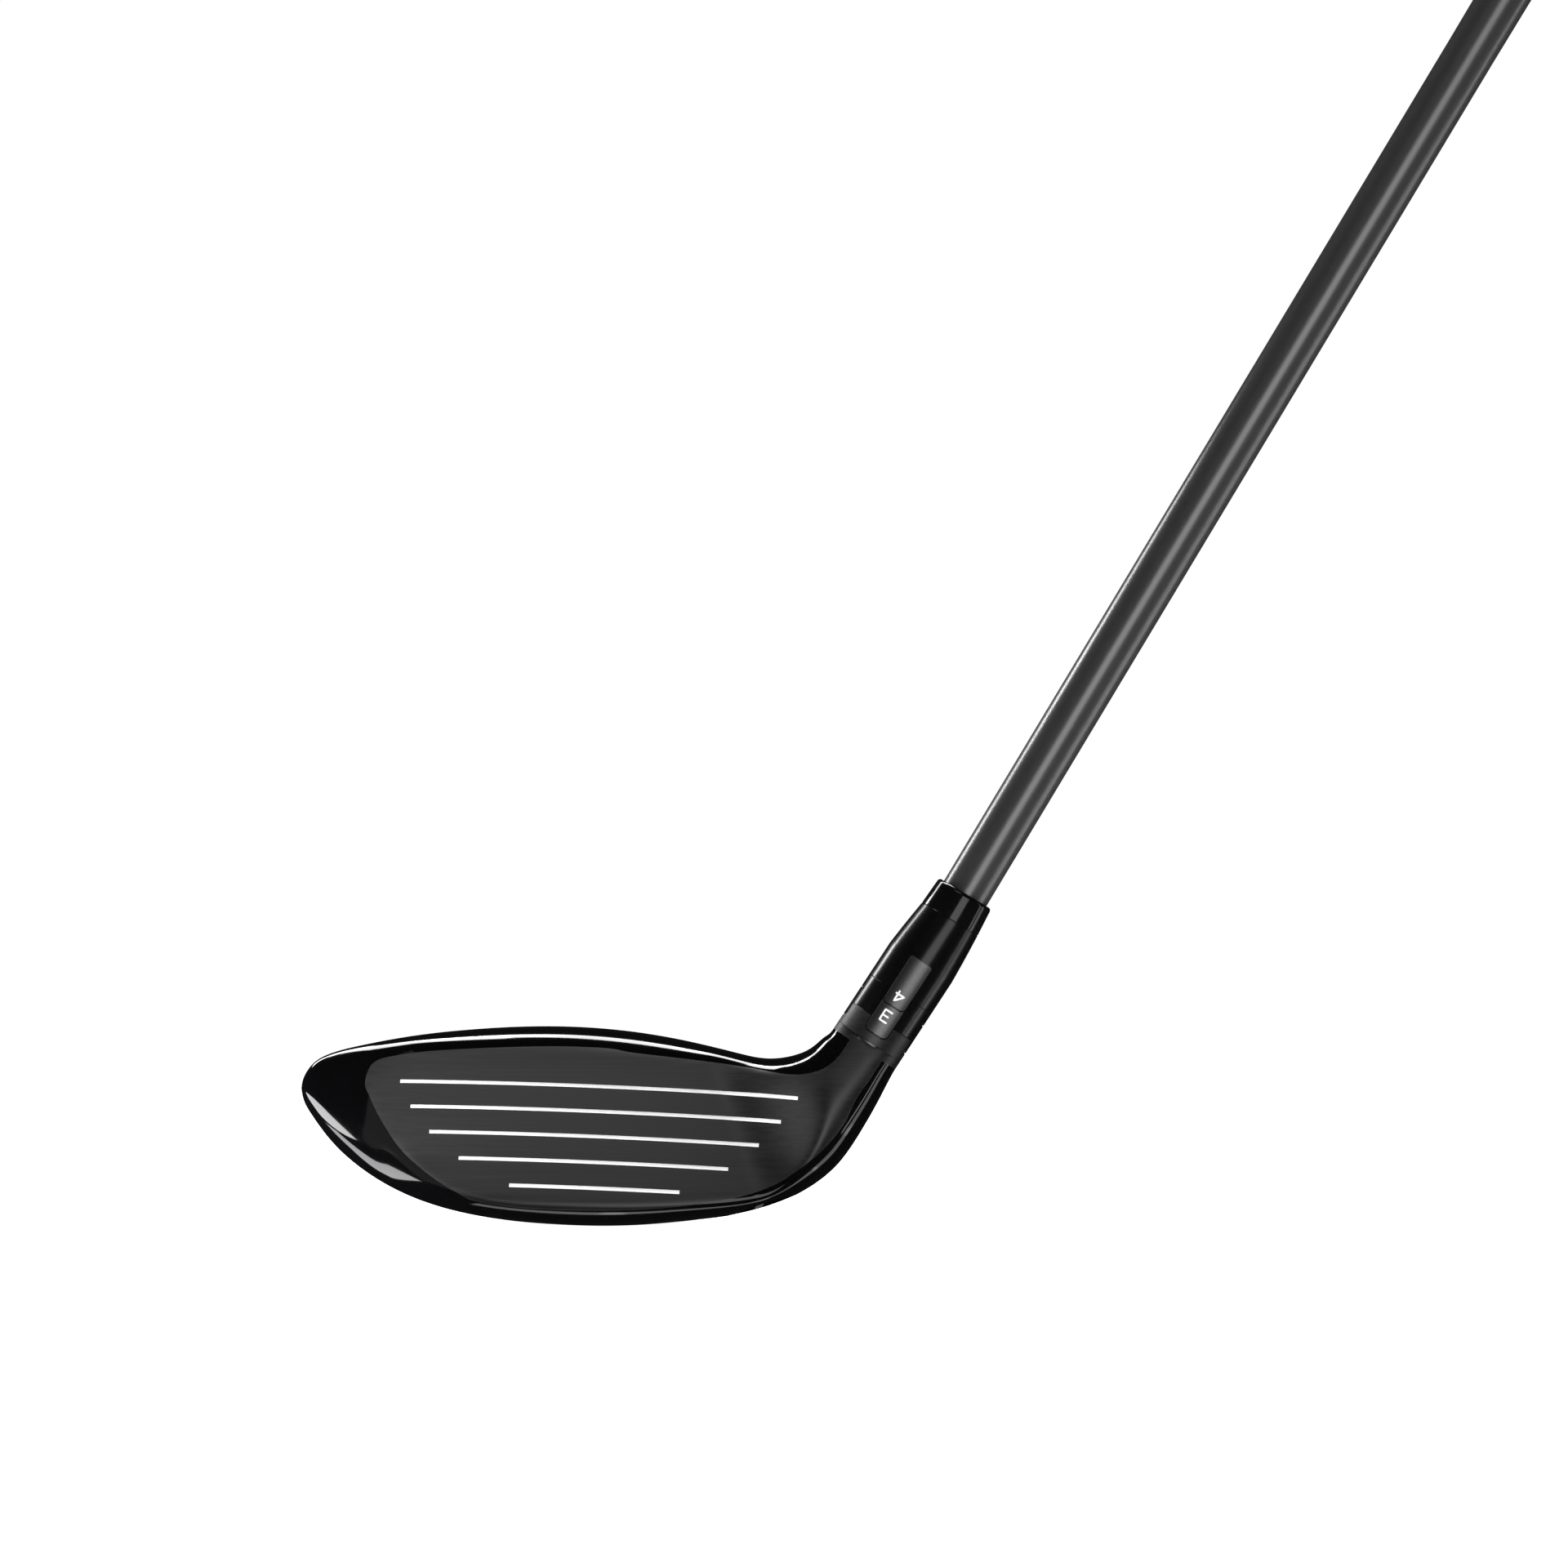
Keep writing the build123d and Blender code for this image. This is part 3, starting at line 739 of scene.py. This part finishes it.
def black_anodised_aluminium():
    # Turned aluminium, hard-anodised black and polished; the setting band is blasted satin grey.
    material, tree, shader = new_finish("black_anodised_aluminium")
    edge = add(tree, "ShaderNodeAttribute", {"attribute_name": "window_edge"}).outputs["Fac"]
    band = ramp(tree, edge, -0.06, 0.06, 0.0, 1.0)
    speck = noise(tree, 2500.0, 3.0)
    grey = mix_colours(tree, ramp(tree, speck, 0.3, 0.7, 0.0, 1.0), "#6c6c6c", "#747474")
    tree.links.new(mix_colours(tree, band, "#060607", grey), shader.inputs["Base Color"])
    tree.links.new(band, shader.inputs["Metallic"])
    tree.links.new(ramp(tree, band, 0.0, 1.0, 0.22, 0.36), shader.inputs["Roughness"])
    return material


anodised = black_anodised_aluminium()
collar = indexed_tube("hosel_collar", BORE_R, np.full_like(COLUMNS, COLLAR_LOW), -NOTCHES)
mark_satin(collar)
finish_piece(collar, "head", head_finish)
ring = indexed_tube("setting_ring_body", BORE_R, -TABS, RING_HEIGHT - NOTCHES)
mark_window(ring)
finish_piece(ring, "setting_ring", anodised, ("setting_ring",))

# %% [markdown]
# The sleeve carries on from the ring and, above a faint kink, leans over to the shaft axis. Its
# stem runs down the hosel's bore to the screw's thread, with a groove for the O-ring.

# %% Sleeve and its stem
THREAD_R = 2.52
GROOVE_R = 4.3
GROOVE = (-9.6, -8.2)
STEP_CHAMFER = 1.2
STEM_LAP = 0.4              # the stem's top stands this far inside the shell
KINK_STEP = 0.4
SOCKET_DEPTH = 6.0
TAPER_ROWS = 12
TAPER_SWELL = 0.05


def sleeve_shell():
    """The sleeve's outside: round up to the kink, then tapered and leaning."""
    low = RING_HEIGHT - TABS
    top = SLEEVE_TOP - AXES_CROSS
    foot = at_height(HOSEL_R, SLEEVE_KINK)
    head = at_height(SLEEVE_TOP_R, top, SHAFT)
    rows = [at_height(HOSEL_R - CHAMFER, low)]
    rows += wall(HOSEL_R, low + CHAMFER, np.full_like(low, SLEEVE_KINK - KINK_STEP))
    for k in range(TAPER_ROWS + 1):
        share = k / TAPER_ROWS
        swell = TAPER_SWELL * math.sin(math.pi * share)
        rows.append(foot + (head - foot) * share + (foot - foot.mean(0)) / HOSEL_R * swell)
    rows += [at_height(TIP_R, top, SHAFT), at_height(TIP_R, top - SOCKET_DEPTH, SHAFT)]
    rows.append(at_height(STEM_R, low))
    return mesh_from_rows("sleeve_shell", rows, wrap_rows=True)


sleeve = sleeve_shell()
mark_window(sleeve)
finish_piece(sleeve, "shaft_assembly", anodised, ("hosel_sleeve",))
stem_profile = [
    (THREAD_R, STEM_END), (STEM_LOW_R, STEM_END), (STEM_LOW_R, GROOVE[0]), (GROOVE_R, GROOVE[0]),
    (GROOVE_R, GROOVE[1]), (STEM_LOW_R, GROOVE[1]), (STEM_LOW_R, STEM_STEP - STEP_CHAMFER),
    (STEM_R, STEM_STEP), (STEM_R, RING_HEIGHT + STEM_LAP), (THREAD_R, RING_HEIGHT + STEM_LAP),
]
stem = turned("sleeve_stem", stem_profile, HOSEL, radius=0.2)
mark_window(stem)
finish_piece(stem, "shaft_assembly", anodised)

# %% [markdown]
# Each setting has a small painted figure. A dial numeral is set on the band, turned so that it
# reads from beside the hosel, and wrapped round the tube.

# %% Setting numerals
NUMERALS = {
    "3": [(-0.8, 1.1), (0.8, 1.1), (0.8, 0.0), (-0.5, 0.0), (0.8, 0.0), (0.8, -1.1), (-0.8, -1.1)],
    "4": [(0.45, -1.1), (0.45, 1.1), (-0.9, -0.4), (0.95, -0.4)],
}
STROKE_R = 0.18
STROKE_FLAT = 0.15
STROKE_STEPS = 8
RING_MARK = 1.27            # heights of the two figures' middles
SLEEVE_MARK = 5.69


def wrapped_numeral(name, figure, height, body):
    """A thin stroke bent round the hosel, flattened to the depth of a printed mark."""
    data = bpy.data.curves.new(name, "CURVE")
    data.dimensions = "3D"
    data.bevel_depth = STROKE_R * MM
    data.bevel_resolution = 2
    data.use_fill_caps = True
    stroke = data.splines.new("POLY")
    corners = np.array(NUMERALS[figure])
    path = []
    for a, b in zip(corners, corners[1:]):
        path += [a + (b - a) * k / STROKE_STEPS for k in range(STROKE_STEPS)]
    path.append(corners[-1])
    stroke.points.add(len(path) - 1)
    for point, (u, v) in zip(stroke.points, path):
        point.co = (u * MM, v * MM, 0.0, 1.0)
    guide = new_piece(name, data)
    mesh = evaluated_mesh(guide)
    bpy.data.objects.remove(guide)
    for vertex in mesh.vertices:
        u, v, w = (c / MM for c in vertex.co)
        radius = HOSEL_R + STROKE_FLAT * w
        place = point_on(HOSEL, np.array(radius), np.array(u / HOSEL_R), np.array(height - v))
        vertex.co = Vector(place * MM)
    finish_piece(new_piece(name, mesh), body, white_paint)


wrapped_numeral("ring_numeral", "3", RING_MARK, "setting_ring")
wrapped_numeral("sleeve_numeral", "4", SLEEVE_MARK, "shaft_assembly")

# %% [markdown]
# The ferrule hides the sleeve's rim, and the shaft runs up from it. The shaft's black coat is
# softer than the lacquer: it draws a broad, dim band of light instead of a sharp line.

# %% Ferrule and shaft
TUBE_TIP_R = 2.9            # the tube's inner radius at the tip and at the butt
TUBE_BUTT_R = 6.4
TAPER_STEPS = 24


def polished_cellulose():
    # Ferrule plastic, turned and polished with solvent: a warm black with faint turning rings.
    material, tree, shader = new_finish("polished_cellulose_plastic")
    rings = noise(tree, 900.0, 3.0)
    tree.links.new(mix_colours(tree, rings, "#070707", "#0b0b0b"), shader.inputs["Base Color"])
    tree.links.new(ramp(tree, rings, 0.3, 0.7, 0.10, 0.16), shader.inputs["Roughness"])
    return material


def coated_graphite():
    # Graphite tube, centreless ground and sprayed black: satin coat with a fine spiral of tape.
    material, tree, shader = new_finish("coated_graphite")
    grain = noise(tree, (700.0, 700.0, 60.0), 4.0)
    tree.links.new(mix_colours(tree, grain, "#6a6a6b", "#6e6e6f"), shader.inputs["Base Color"])
    tree.links.new(ramp(tree, grain, 0.3, 0.7, 0.29, 0.30), shader.inputs["Roughness"])
    shader.inputs["Metallic"].default_value = 0.8
    return material


ferrule_low = SLEEVE_TOP - AXES_CROSS
ferrule_high = ferrule_low + FERRULE_HEIGHT
ferrule_profile = [
    (TIP_R, ferrule_low), (SLEEVE_TOP_R, ferrule_low), (FERRULE_TOP_R + 0.08, ferrule_high - 0.4),
    (FERRULE_TOP_R - 0.25, ferrule_high), (TIP_R, ferrule_high),
]
ferrule = turned("ferrule_body", ferrule_profile, SHAFT, radius=0.25)
finish_piece(ferrule, "shaft_assembly", polished_cellulose(), ("ferrule",))


def shaft_profile():
    """The tube's outside from tip to butt, and its bore back again."""
    high = BUTT_FACE - GRIP_CAP
    outer = [(TIP_R, -TIP_INSERTION), (TIP_R, TIP_PARALLEL)]
    for k in range(1, TAPER_STEPS):
        share = k / TAPER_STEPS
        height = TIP_PARALLEL + (BUTT_START - TIP_PARALLEL) * share
        outer.append((TIP_R + (BUTT_R - TIP_R) * share, height))
    outer += [(BUTT_R, BUTT_START), (BUTT_R, high)]
    bore = [(TUBE_BUTT_R, high), (TUBE_BUTT_R, BUTT_START), (TUBE_TIP_R, TIP_PARALLEL)]
    return [(TUBE_TIP_R, -TIP_INSERTION)] + outer + bore


shaft = turned("shaft_tube", shaft_profile(), SHAFT, radius=0.1, segments=128)
finish_piece(shaft, "shaft_assembly", coated_graphite(), ("shaft",))

# %% [markdown]
# The grip is a tapered rubber sleeve. Its tread is hundreds of small raised pads in staggered
# rings, so Geometry Nodes place one low-faced pad on each point of the tread and join them.

# %% Grip
def moulded_rubber(name, dark, light):
    # Moulded rubber: matt, finely pitted by the mould, a little worn to grey.
    material, tree, shader = new_finish(name)
    pits = noise(tree, 1500.0, 5.0, 0.7)
    wear = ramp(tree, noise(tree, 45.0, 3.0), 0.4, 0.7, 0.0, 1.0)
    tree.links.new(mix_colours(tree, wear, dark, light), shader.inputs["Base Color"])
    tree.links.new(ramp(tree, pits, 0.3, 0.7, 0.62, 0.8), shader.inputs["Roughness"])
    tree.links.new(bump(tree, pits, 0.00008, 0.5), shader.inputs["Normal"])
    return material


grip_rubber = moulded_rubber("moulded_grip_rubber", "#101011", "#19191a")
cap_rubber = moulded_rubber("moulded_cap_rubber", "#161617", "#1f1f20")
GRIP_FLARE = BUTT_FACE - 22.0
GRIP_SHOULDER = BUTT_FACE - 9.0
GRIP_FIT = 0.2              # room for the tape between the shaft and the rubber
PAD_RISE = 0.22
PAD_LENGTH = 3.4
PAD_WIDTH = 2.6
PAD_PITCH = 4.6
PADS_AROUND = 14
TREAD_MARGIN = (14.0, 16.0)     # plain rubber left at the mouth and at the butt
PLAIN_BAND = (96.0, 112.0)      # a band without pads, from the tread's start
GRIP_OUTSIDE = [
    (GRIP_MOUTH_R, MOUTH + 1.0), (GRIP_MOUTH_R + 2.6, GRIP_FLARE - 70.0),
    (GRIP_BUTT_R - 0.7, GRIP_FLARE), (GRIP_BUTT_R, GRIP_SHOULDER),
]


def grip_radius(height):
    """The rubber's radius between the pads."""
    heights = [h for _, h in GRIP_OUTSIDE]
    radii = [r - PAD_RISE for r, _ in GRIP_OUTSIDE]
    return np.interp(height, heights, radii)


def grip_profile():
    high = BUTT_FACE - GRIP_CAP
    profile = [(BUTT_R + GRIP_FIT, MOUTH), (GRIP_MOUTH_R - 0.6, MOUTH)]
    for height in np.linspace(MOUTH + 1.0, GRIP_SHOULDER, 40):
        profile.append((float(grip_radius(height)), float(height)))
    return profile + [(GRIP_BUTT_R - PAD_RISE, high), (BUTT_R + GRIP_FIT, high)]


grip = turned("grip_rubber_sleeve", grip_profile(), SHAFT, radius=0.5, segments=96)
finish_piece(grip, "shaft_assembly", grip_rubber, ("grip_sleeve",))


def pad_points():
    """A point on the grip for each pad, with the way it faces."""
    spots, facings = [], []
    start, end = MOUTH + TREAD_MARGIN[0], BUTT_FACE - TREAD_MARGIN[1]
    for row in range(int((end - start) / PAD_PITCH)):
        height = start + row * PAD_PITCH
        if PLAIN_BAND[0] < height - start < PLAIN_BAND[1]:
            continue
        for k in range(PADS_AROUND):
            turn = 2 * math.pi * (k + 0.5 * (row % 2)) / PADS_AROUND
            radius = float(grip_radius(height))
            spot = point_on(SHAFT, np.array(radius), np.array(turn), np.array(height))
            axis_spot = SHAFT[0] + SHAFT[1] * height
            spots.append(tuple(spot * MM))
            facings.append(tuple((spot - axis_spot) / radius))
    return spots, facings


def pad_tree():
    """Places one low-faced pad on each point, facing outwards with its length up the shaft."""
    sizes = {"Pad Length": 0.0, "Pad Width": 0.0, "Pad Rise": 0.0}
    tree, given, result = new_tree("grip_pads", sizes)
    facing = add(tree, "GeometryNodeInputNamedAttribute", {"data_type": "FLOAT_VECTOR", "Name": "facing"})
    block = add(tree, "GeometryNodeMeshCone", {
        "Vertices": 6, "Radius Top": 0.36, "Radius Bottom": 0.5, "Depth": 1.0,
        "Side Segments": 1, "Fill Segments": 1,
    })
    size = add(tree, "ShaderNodeCombineXYZ", X=given.outputs["Pad Length"], Y=given.outputs["Pad Width"],
               Z=given.outputs["Pad Rise"])
    block_to_size = add(tree, "GeometryNodeTransform", Geometry=block.outputs[0], Scale=size.outputs[0])
    out = add(tree, "FunctionNodeAlignRotationToVector", {"axis": "Z"}, Vector=facing.outputs[0])
    up_shaft = {"axis": "X", "pivot_axis": "Z", "Vector": tuple(SHAFT_DIR)}
    along = add(tree, "FunctionNodeAlignRotationToVector", up_shaft, Rotation=out.outputs[0])
    pads = add(tree, "GeometryNodeInstanceOnPoints", Points=given.outputs["Geometry"],
               Instance=block_to_size.outputs[0], Rotation=along.outputs[0])
    real = add(tree, "GeometryNodeRealizeInstances", Geometry=pads.outputs[0])
    rubber = add(tree, "GeometryNodeSetMaterial", {"Material": grip_rubber}, Geometry=real.outputs[0])
    tree.links.new(rubber.outputs[0], result.inputs[0])
    return tree, sizes


spots, facings = pad_points()
pad_mesh = bpy.data.meshes.new("grip_pads")
pad_mesh.from_pydata(spots, [], [])
facing_data = pad_mesh.attributes.new("facing", "FLOAT_VECTOR", "POINT")
facing_data.data.foreach_set("vector", np.array(facings).ravel())
pads = new_piece("grip_pads", pad_mesh)
pads_tree, pad_sizes = pad_tree()
pad_sizes["Pad Length"] = PAD_LENGTH * MM
pad_sizes["Pad Width"] = PAD_WIDTH * MM
pad_sizes["Pad Rise"] = 2 * PAD_RISE * 0.9 * MM
run_tree(pads, pads_tree, pad_sizes)
finish_piece(pads, "shaft_assembly", grip_rubber)

cap_high = BUTT_FACE - GRIP_CAP
cap_profile = [
    (VENT_R, cap_high), (GRIP_BUTT_R - PAD_RISE, cap_high), (GRIP_BUTT_R, cap_high + 0.5),
    (GRIP_BUTT_R, BUTT_FACE - 2.6), (GRIP_BUTT_R - 0.8, BUTT_FACE - 1.0),
    (GRIP_BUTT_R - 2.6, BUTT_FACE), (GRIP_BUTT_R - 5.5, BUTT_FACE),
    (GRIP_BUTT_R - 5.8, BUTT_FACE - 0.35), (GRIP_BUTT_R - 6.4, BUTT_FACE - 0.35),
    (GRIP_BUTT_R - 6.7, BUTT_FACE), (VENT_R + 0.4, BUTT_FACE), (VENT_R, BUTT_FACE - 0.4),
]
cap = turned("grip_end_cap", cap_profile, SHAFT, radius=0.35)
finish_piece(cap, "shaft_assembly", cap_rubber, ("grip_cap",))

# %% [markdown]
# The small parts that are hidden at rest keep their CAD shapes and get finishes of their own.

# %% Hidden and small parts
def machined_steel(name, dark, light, rough):
    # Bar stock turned on a lathe: bright, with faint tool marks.
    material, tree, shader = new_finish(name)
    marks = noise(tree, (3000.0, 3000.0, 600.0), 4.0)
    tree.links.new(mix_colours(tree, marks, dark, light), shader.inputs["Base Color"])
    shader.inputs["Metallic"].default_value = 1.0
    tree.links.new(ramp(tree, marks, 0.3, 0.7, rough, rough + 0.12), shader.inputs["Roughness"])
    tree.links.new(bump(tree, marks, 0.00001, 0.3), shader.inputs["Normal"])
    return material


def soft_filler(name, dark, light, grain_mm, rough):
    # Foam, glue, tape and seals: matt and mottled at the scale of their cells or fibres.
    material, tree, shader = new_finish(name)
    mottle = noise(tree, 1000.0 / grain_mm, 4.0)
    tree.links.new(mix_colours(tree, mottle, dark, light), shader.inputs["Base Color"])
    shader.inputs["Roughness"].default_value = rough
    tree.links.new(bump(tree, mottle, 0.00005, 0.4), shader.inputs["Normal"])
    return material


small_finishes = {
    "hosel_screw": machined_steel("machined_stainless", "#9a9a98", "#c4c4c2", 0.22),
    "hosel_screw_washer": machined_steel("washer_stainless", "#8c8c8a", "#b8b8b6", 0.3),
    "screw_retainer": machined_steel("retainer_stainless", "#8c8c8a", "#b8b8b6", 0.3),
    "weight_disc": machined_steel("blasted_weight_steel", "#3a3a3c", "#4c4c4e", 0.42),
    "weight_screw": machined_steel("weight_screw_stainless", "#9a9a98", "#c4c4c2", 0.25),
    "weight_pad": soft_filler("nitrile_pad", "#141414", "#1d1d1d", 0.5, 0.6),
    "sleeve_o_ring": soft_filler("nitrile_o_ring", "#0e0e0e", "#181818", 0.4, 0.45),
    "swing_weight_glue": soft_filler("hot_melt_glue", "#b39a66", "#d0bb8a", 3.0, 0.35),
    "shaft_tip_plug": soft_filler("closed_cell_foam", "#bdb6a2", "#dad4c4", 0.6, 0.9),
    "grip_tape": soft_filler("crepe_tape", "#c9bc94", "#ddd2ae", 0.8, 0.85),
}
for node_name, finish in small_finishes.items():
    nodes[node_name].data.materials.clear()
    nodes[node_name].data.materials.append(finish)
print("small parts finished", len(small_finishes))

# %% [markdown]
# The set is a plain pale floor under a white sky. Gloss black shows only what it reflects, so
# the lights are narrow: an arc of strips behind the toe and crown draws the white edge lines,
# and dim cards in front and to the heel side draw the grey ones.

# %% Floor and sky
FLOOR_REACH = 12.0
SKY_ON_CLUB = 0.012         # what the sky gives the club: almost nothing, so that black stays black


def pale_floor():
    # Matt white sheet, bright enough to read as a studio sweep.
    material, tree, shader = new_finish("pale_floor")
    tone = noise(tree, 2.0, 1.0)
    tree.links.new(mix_colours(tree, tone, "#f3f3f3", "#f7f7f7"), shader.inputs["Base Color"])
    shader.inputs["Roughness"].default_value = 0.9
    shader.inputs["Emission Color"].default_value = (1, 1, 1, 1)
    shader.inputs["Emission Strength"].default_value = 1.0
    return material


floor_mesh = bpy.data.meshes.new("floor")
floor_corners = [(x * FLOOR_REACH, y * FLOOR_REACH, 0) for x, y in ((-1, -1), (1, -1), (1, 1), (-1, 1))]
floor_mesh.from_pydata(floor_corners, [], [(0, 1, 2, 3)])
floor = new_piece("floor", floor_mesh)
floor.data.materials.append(pale_floor())
floor.visible_glossy = False
floor.visible_shadow = False

world = bpy.data.worlds.new("white_sky")
scene.world = world
world.use_nodes = True
sky = world.node_tree
sky.nodes.clear()
path = sky.nodes.new("ShaderNodeLightPath")
seen = add(sky, "ShaderNodeBackground", {"Color": (1, 1, 1, 1), "Strength": 1.0})
lit = add(sky, "ShaderNodeBackground", {"Color": (1, 1, 1, 1), "Strength": SKY_ON_CLUB})
both_skies = add(sky, "ShaderNodeMixShader", Fac=path.outputs["Is Camera Ray"],
                 i1=lit.outputs[0], i2=seen.outputs[0])
sky_out = sky.nodes.new("ShaderNodeOutputWorld")
sky.links.new(both_skies.outputs[0], sky_out.inputs[0])
scene.view_settings.view_transform = "Standard"
print("floor", 2 * FLOOR_REACH, "m wide, under", world.name)

# %% [markdown]
# Each light is a flat strip that faces the club. Far strips act on the whole head. Near ones
# stand close to one region and aim at it, so that each region gets its highlight and the rest
# of the club hardly sees that light.

# %% Lights
LIGHT_AIM = Vector((-0.005, 0.0, 0.03))
LIGHT_REACH = 1.3
NECK = Vector((0.045, 0.0, 0.042))
NECK_REACH = 0.2
HEEL = Vector((0.037, -0.002, 0.02))
TOE = Vector((-0.0545, 0.003, 0.02))
TOE_REACH = 0.06
SHAFT_AIM = Vector((0.1, 0.0, 0.12))
# Places and widths of the strips in each arc, in degrees.
RIM_ARC = ((-18, 115, 13), (-2, 115, 13), (14, 112, 17))
NECK_ARC = ((29, 117, 7), (44, 118, 7), (60, 122, 7))
HEEL_ARC = ((-110, 95), (-130, 95), (-150, 96), (-170, 100), (170, 101))


def strip(name, around, polar, width, length, level, aim=LIGHT_AIM, reach=LIGHT_REACH):
    """An area light. around is its place round the Y axis from straight up, positive towards the
    toe. polar is its angle from -Y. width and length are degrees, and level is its radiance."""
    around, polar = math.radians(around), math.radians(polar)
    outward = math.sin(polar)
    z_axis = Vector((-outward * math.sin(around), -math.cos(polar), outward * math.cos(around)))
    x_axis = Vector((-math.cos(around), 0.0, -math.sin(around)))
    data = bpy.data.lights.new(name, "AREA")
    data.shape = "RECTANGLE"
    data.size = 2 * reach * math.tan(math.radians(length) / 2)
    data.size_y = 2 * reach * math.tan(math.radians(width) / 2)
    data.energy = level * data.size * data.size_y * math.pi
    lamp = new_piece(name, data)
    basis = Matrix((x_axis, z_axis.cross(x_axis), z_axis)).transposed().to_4x4()
    lamp.matrix_world = Matrix.Translation(aim + z_axis * reach) @ basis
    lamp.visible_camera = False


for number, (around, polar, width) in enumerate(RIM_ARC):
    strip(f"rim_{number}", around, polar, width, 19, 12.0)
for number, (around, polar, width) in enumerate(NECK_ARC):
    strip(f"neck_{number}", around, polar, width, 20, 12.0, NECK, NECK_REACH)
for number, (around, polar) in enumerate(HEEL_ARC):
    strip(f"heel_line_{number}", around, polar, 11, 22, 1.6)
strip("toe_upper_card", 87, 64, 34, 36, 14.0, TOE, TOE_REACH)
strip("toe_lower_card", 129, 80, 20, 34, 8.0, TOE, TOE_REACH)
strip("front_card", -123, 12, 26, 40, 2.0)
strip("heel_fill_card", 80, 66, 30, 60, 0.25, HEEL, NECK_REACH / 2)
strip("face_card", 0, 46, 16, 26, 1.7)
strip("shaft_line_card", -121, 80, 3, 60, 3.5, SHAFT_AIM, NECK_REACH)
print("lights", len(bpy.data.lights))

# %% [markdown]
# The camera looks along +Y with a long lens. Its view is as wide as VIEW_WIDTH at the club, in
# metres, so the head is large and the shaft runs out of the view.

# %% Camera
VIEW_WIDTH = 0.29714
VIEW_CENTRE = (0.03327, 0.0838)
CAMERA_DISTANCE = 3.0
SENSOR = 36.0
camera_data = bpy.data.cameras.new("camera")
camera_data.sensor_width = SENSOR
camera_data.lens = SENSOR * CAMERA_DISTANCE / VIEW_WIDTH
camera_data.clip_end = 100.0
camera = new_piece("camera", camera_data)
camera.location = (VIEW_CENTRE[0], -CAMERA_DISTANCE, VIEW_CENTRE[1])
camera.rotation_euler = (math.radians(90.0), 0.0, 0.0)
scene.camera = camera
print("camera lens", round(camera_data.lens, 1), "mm")
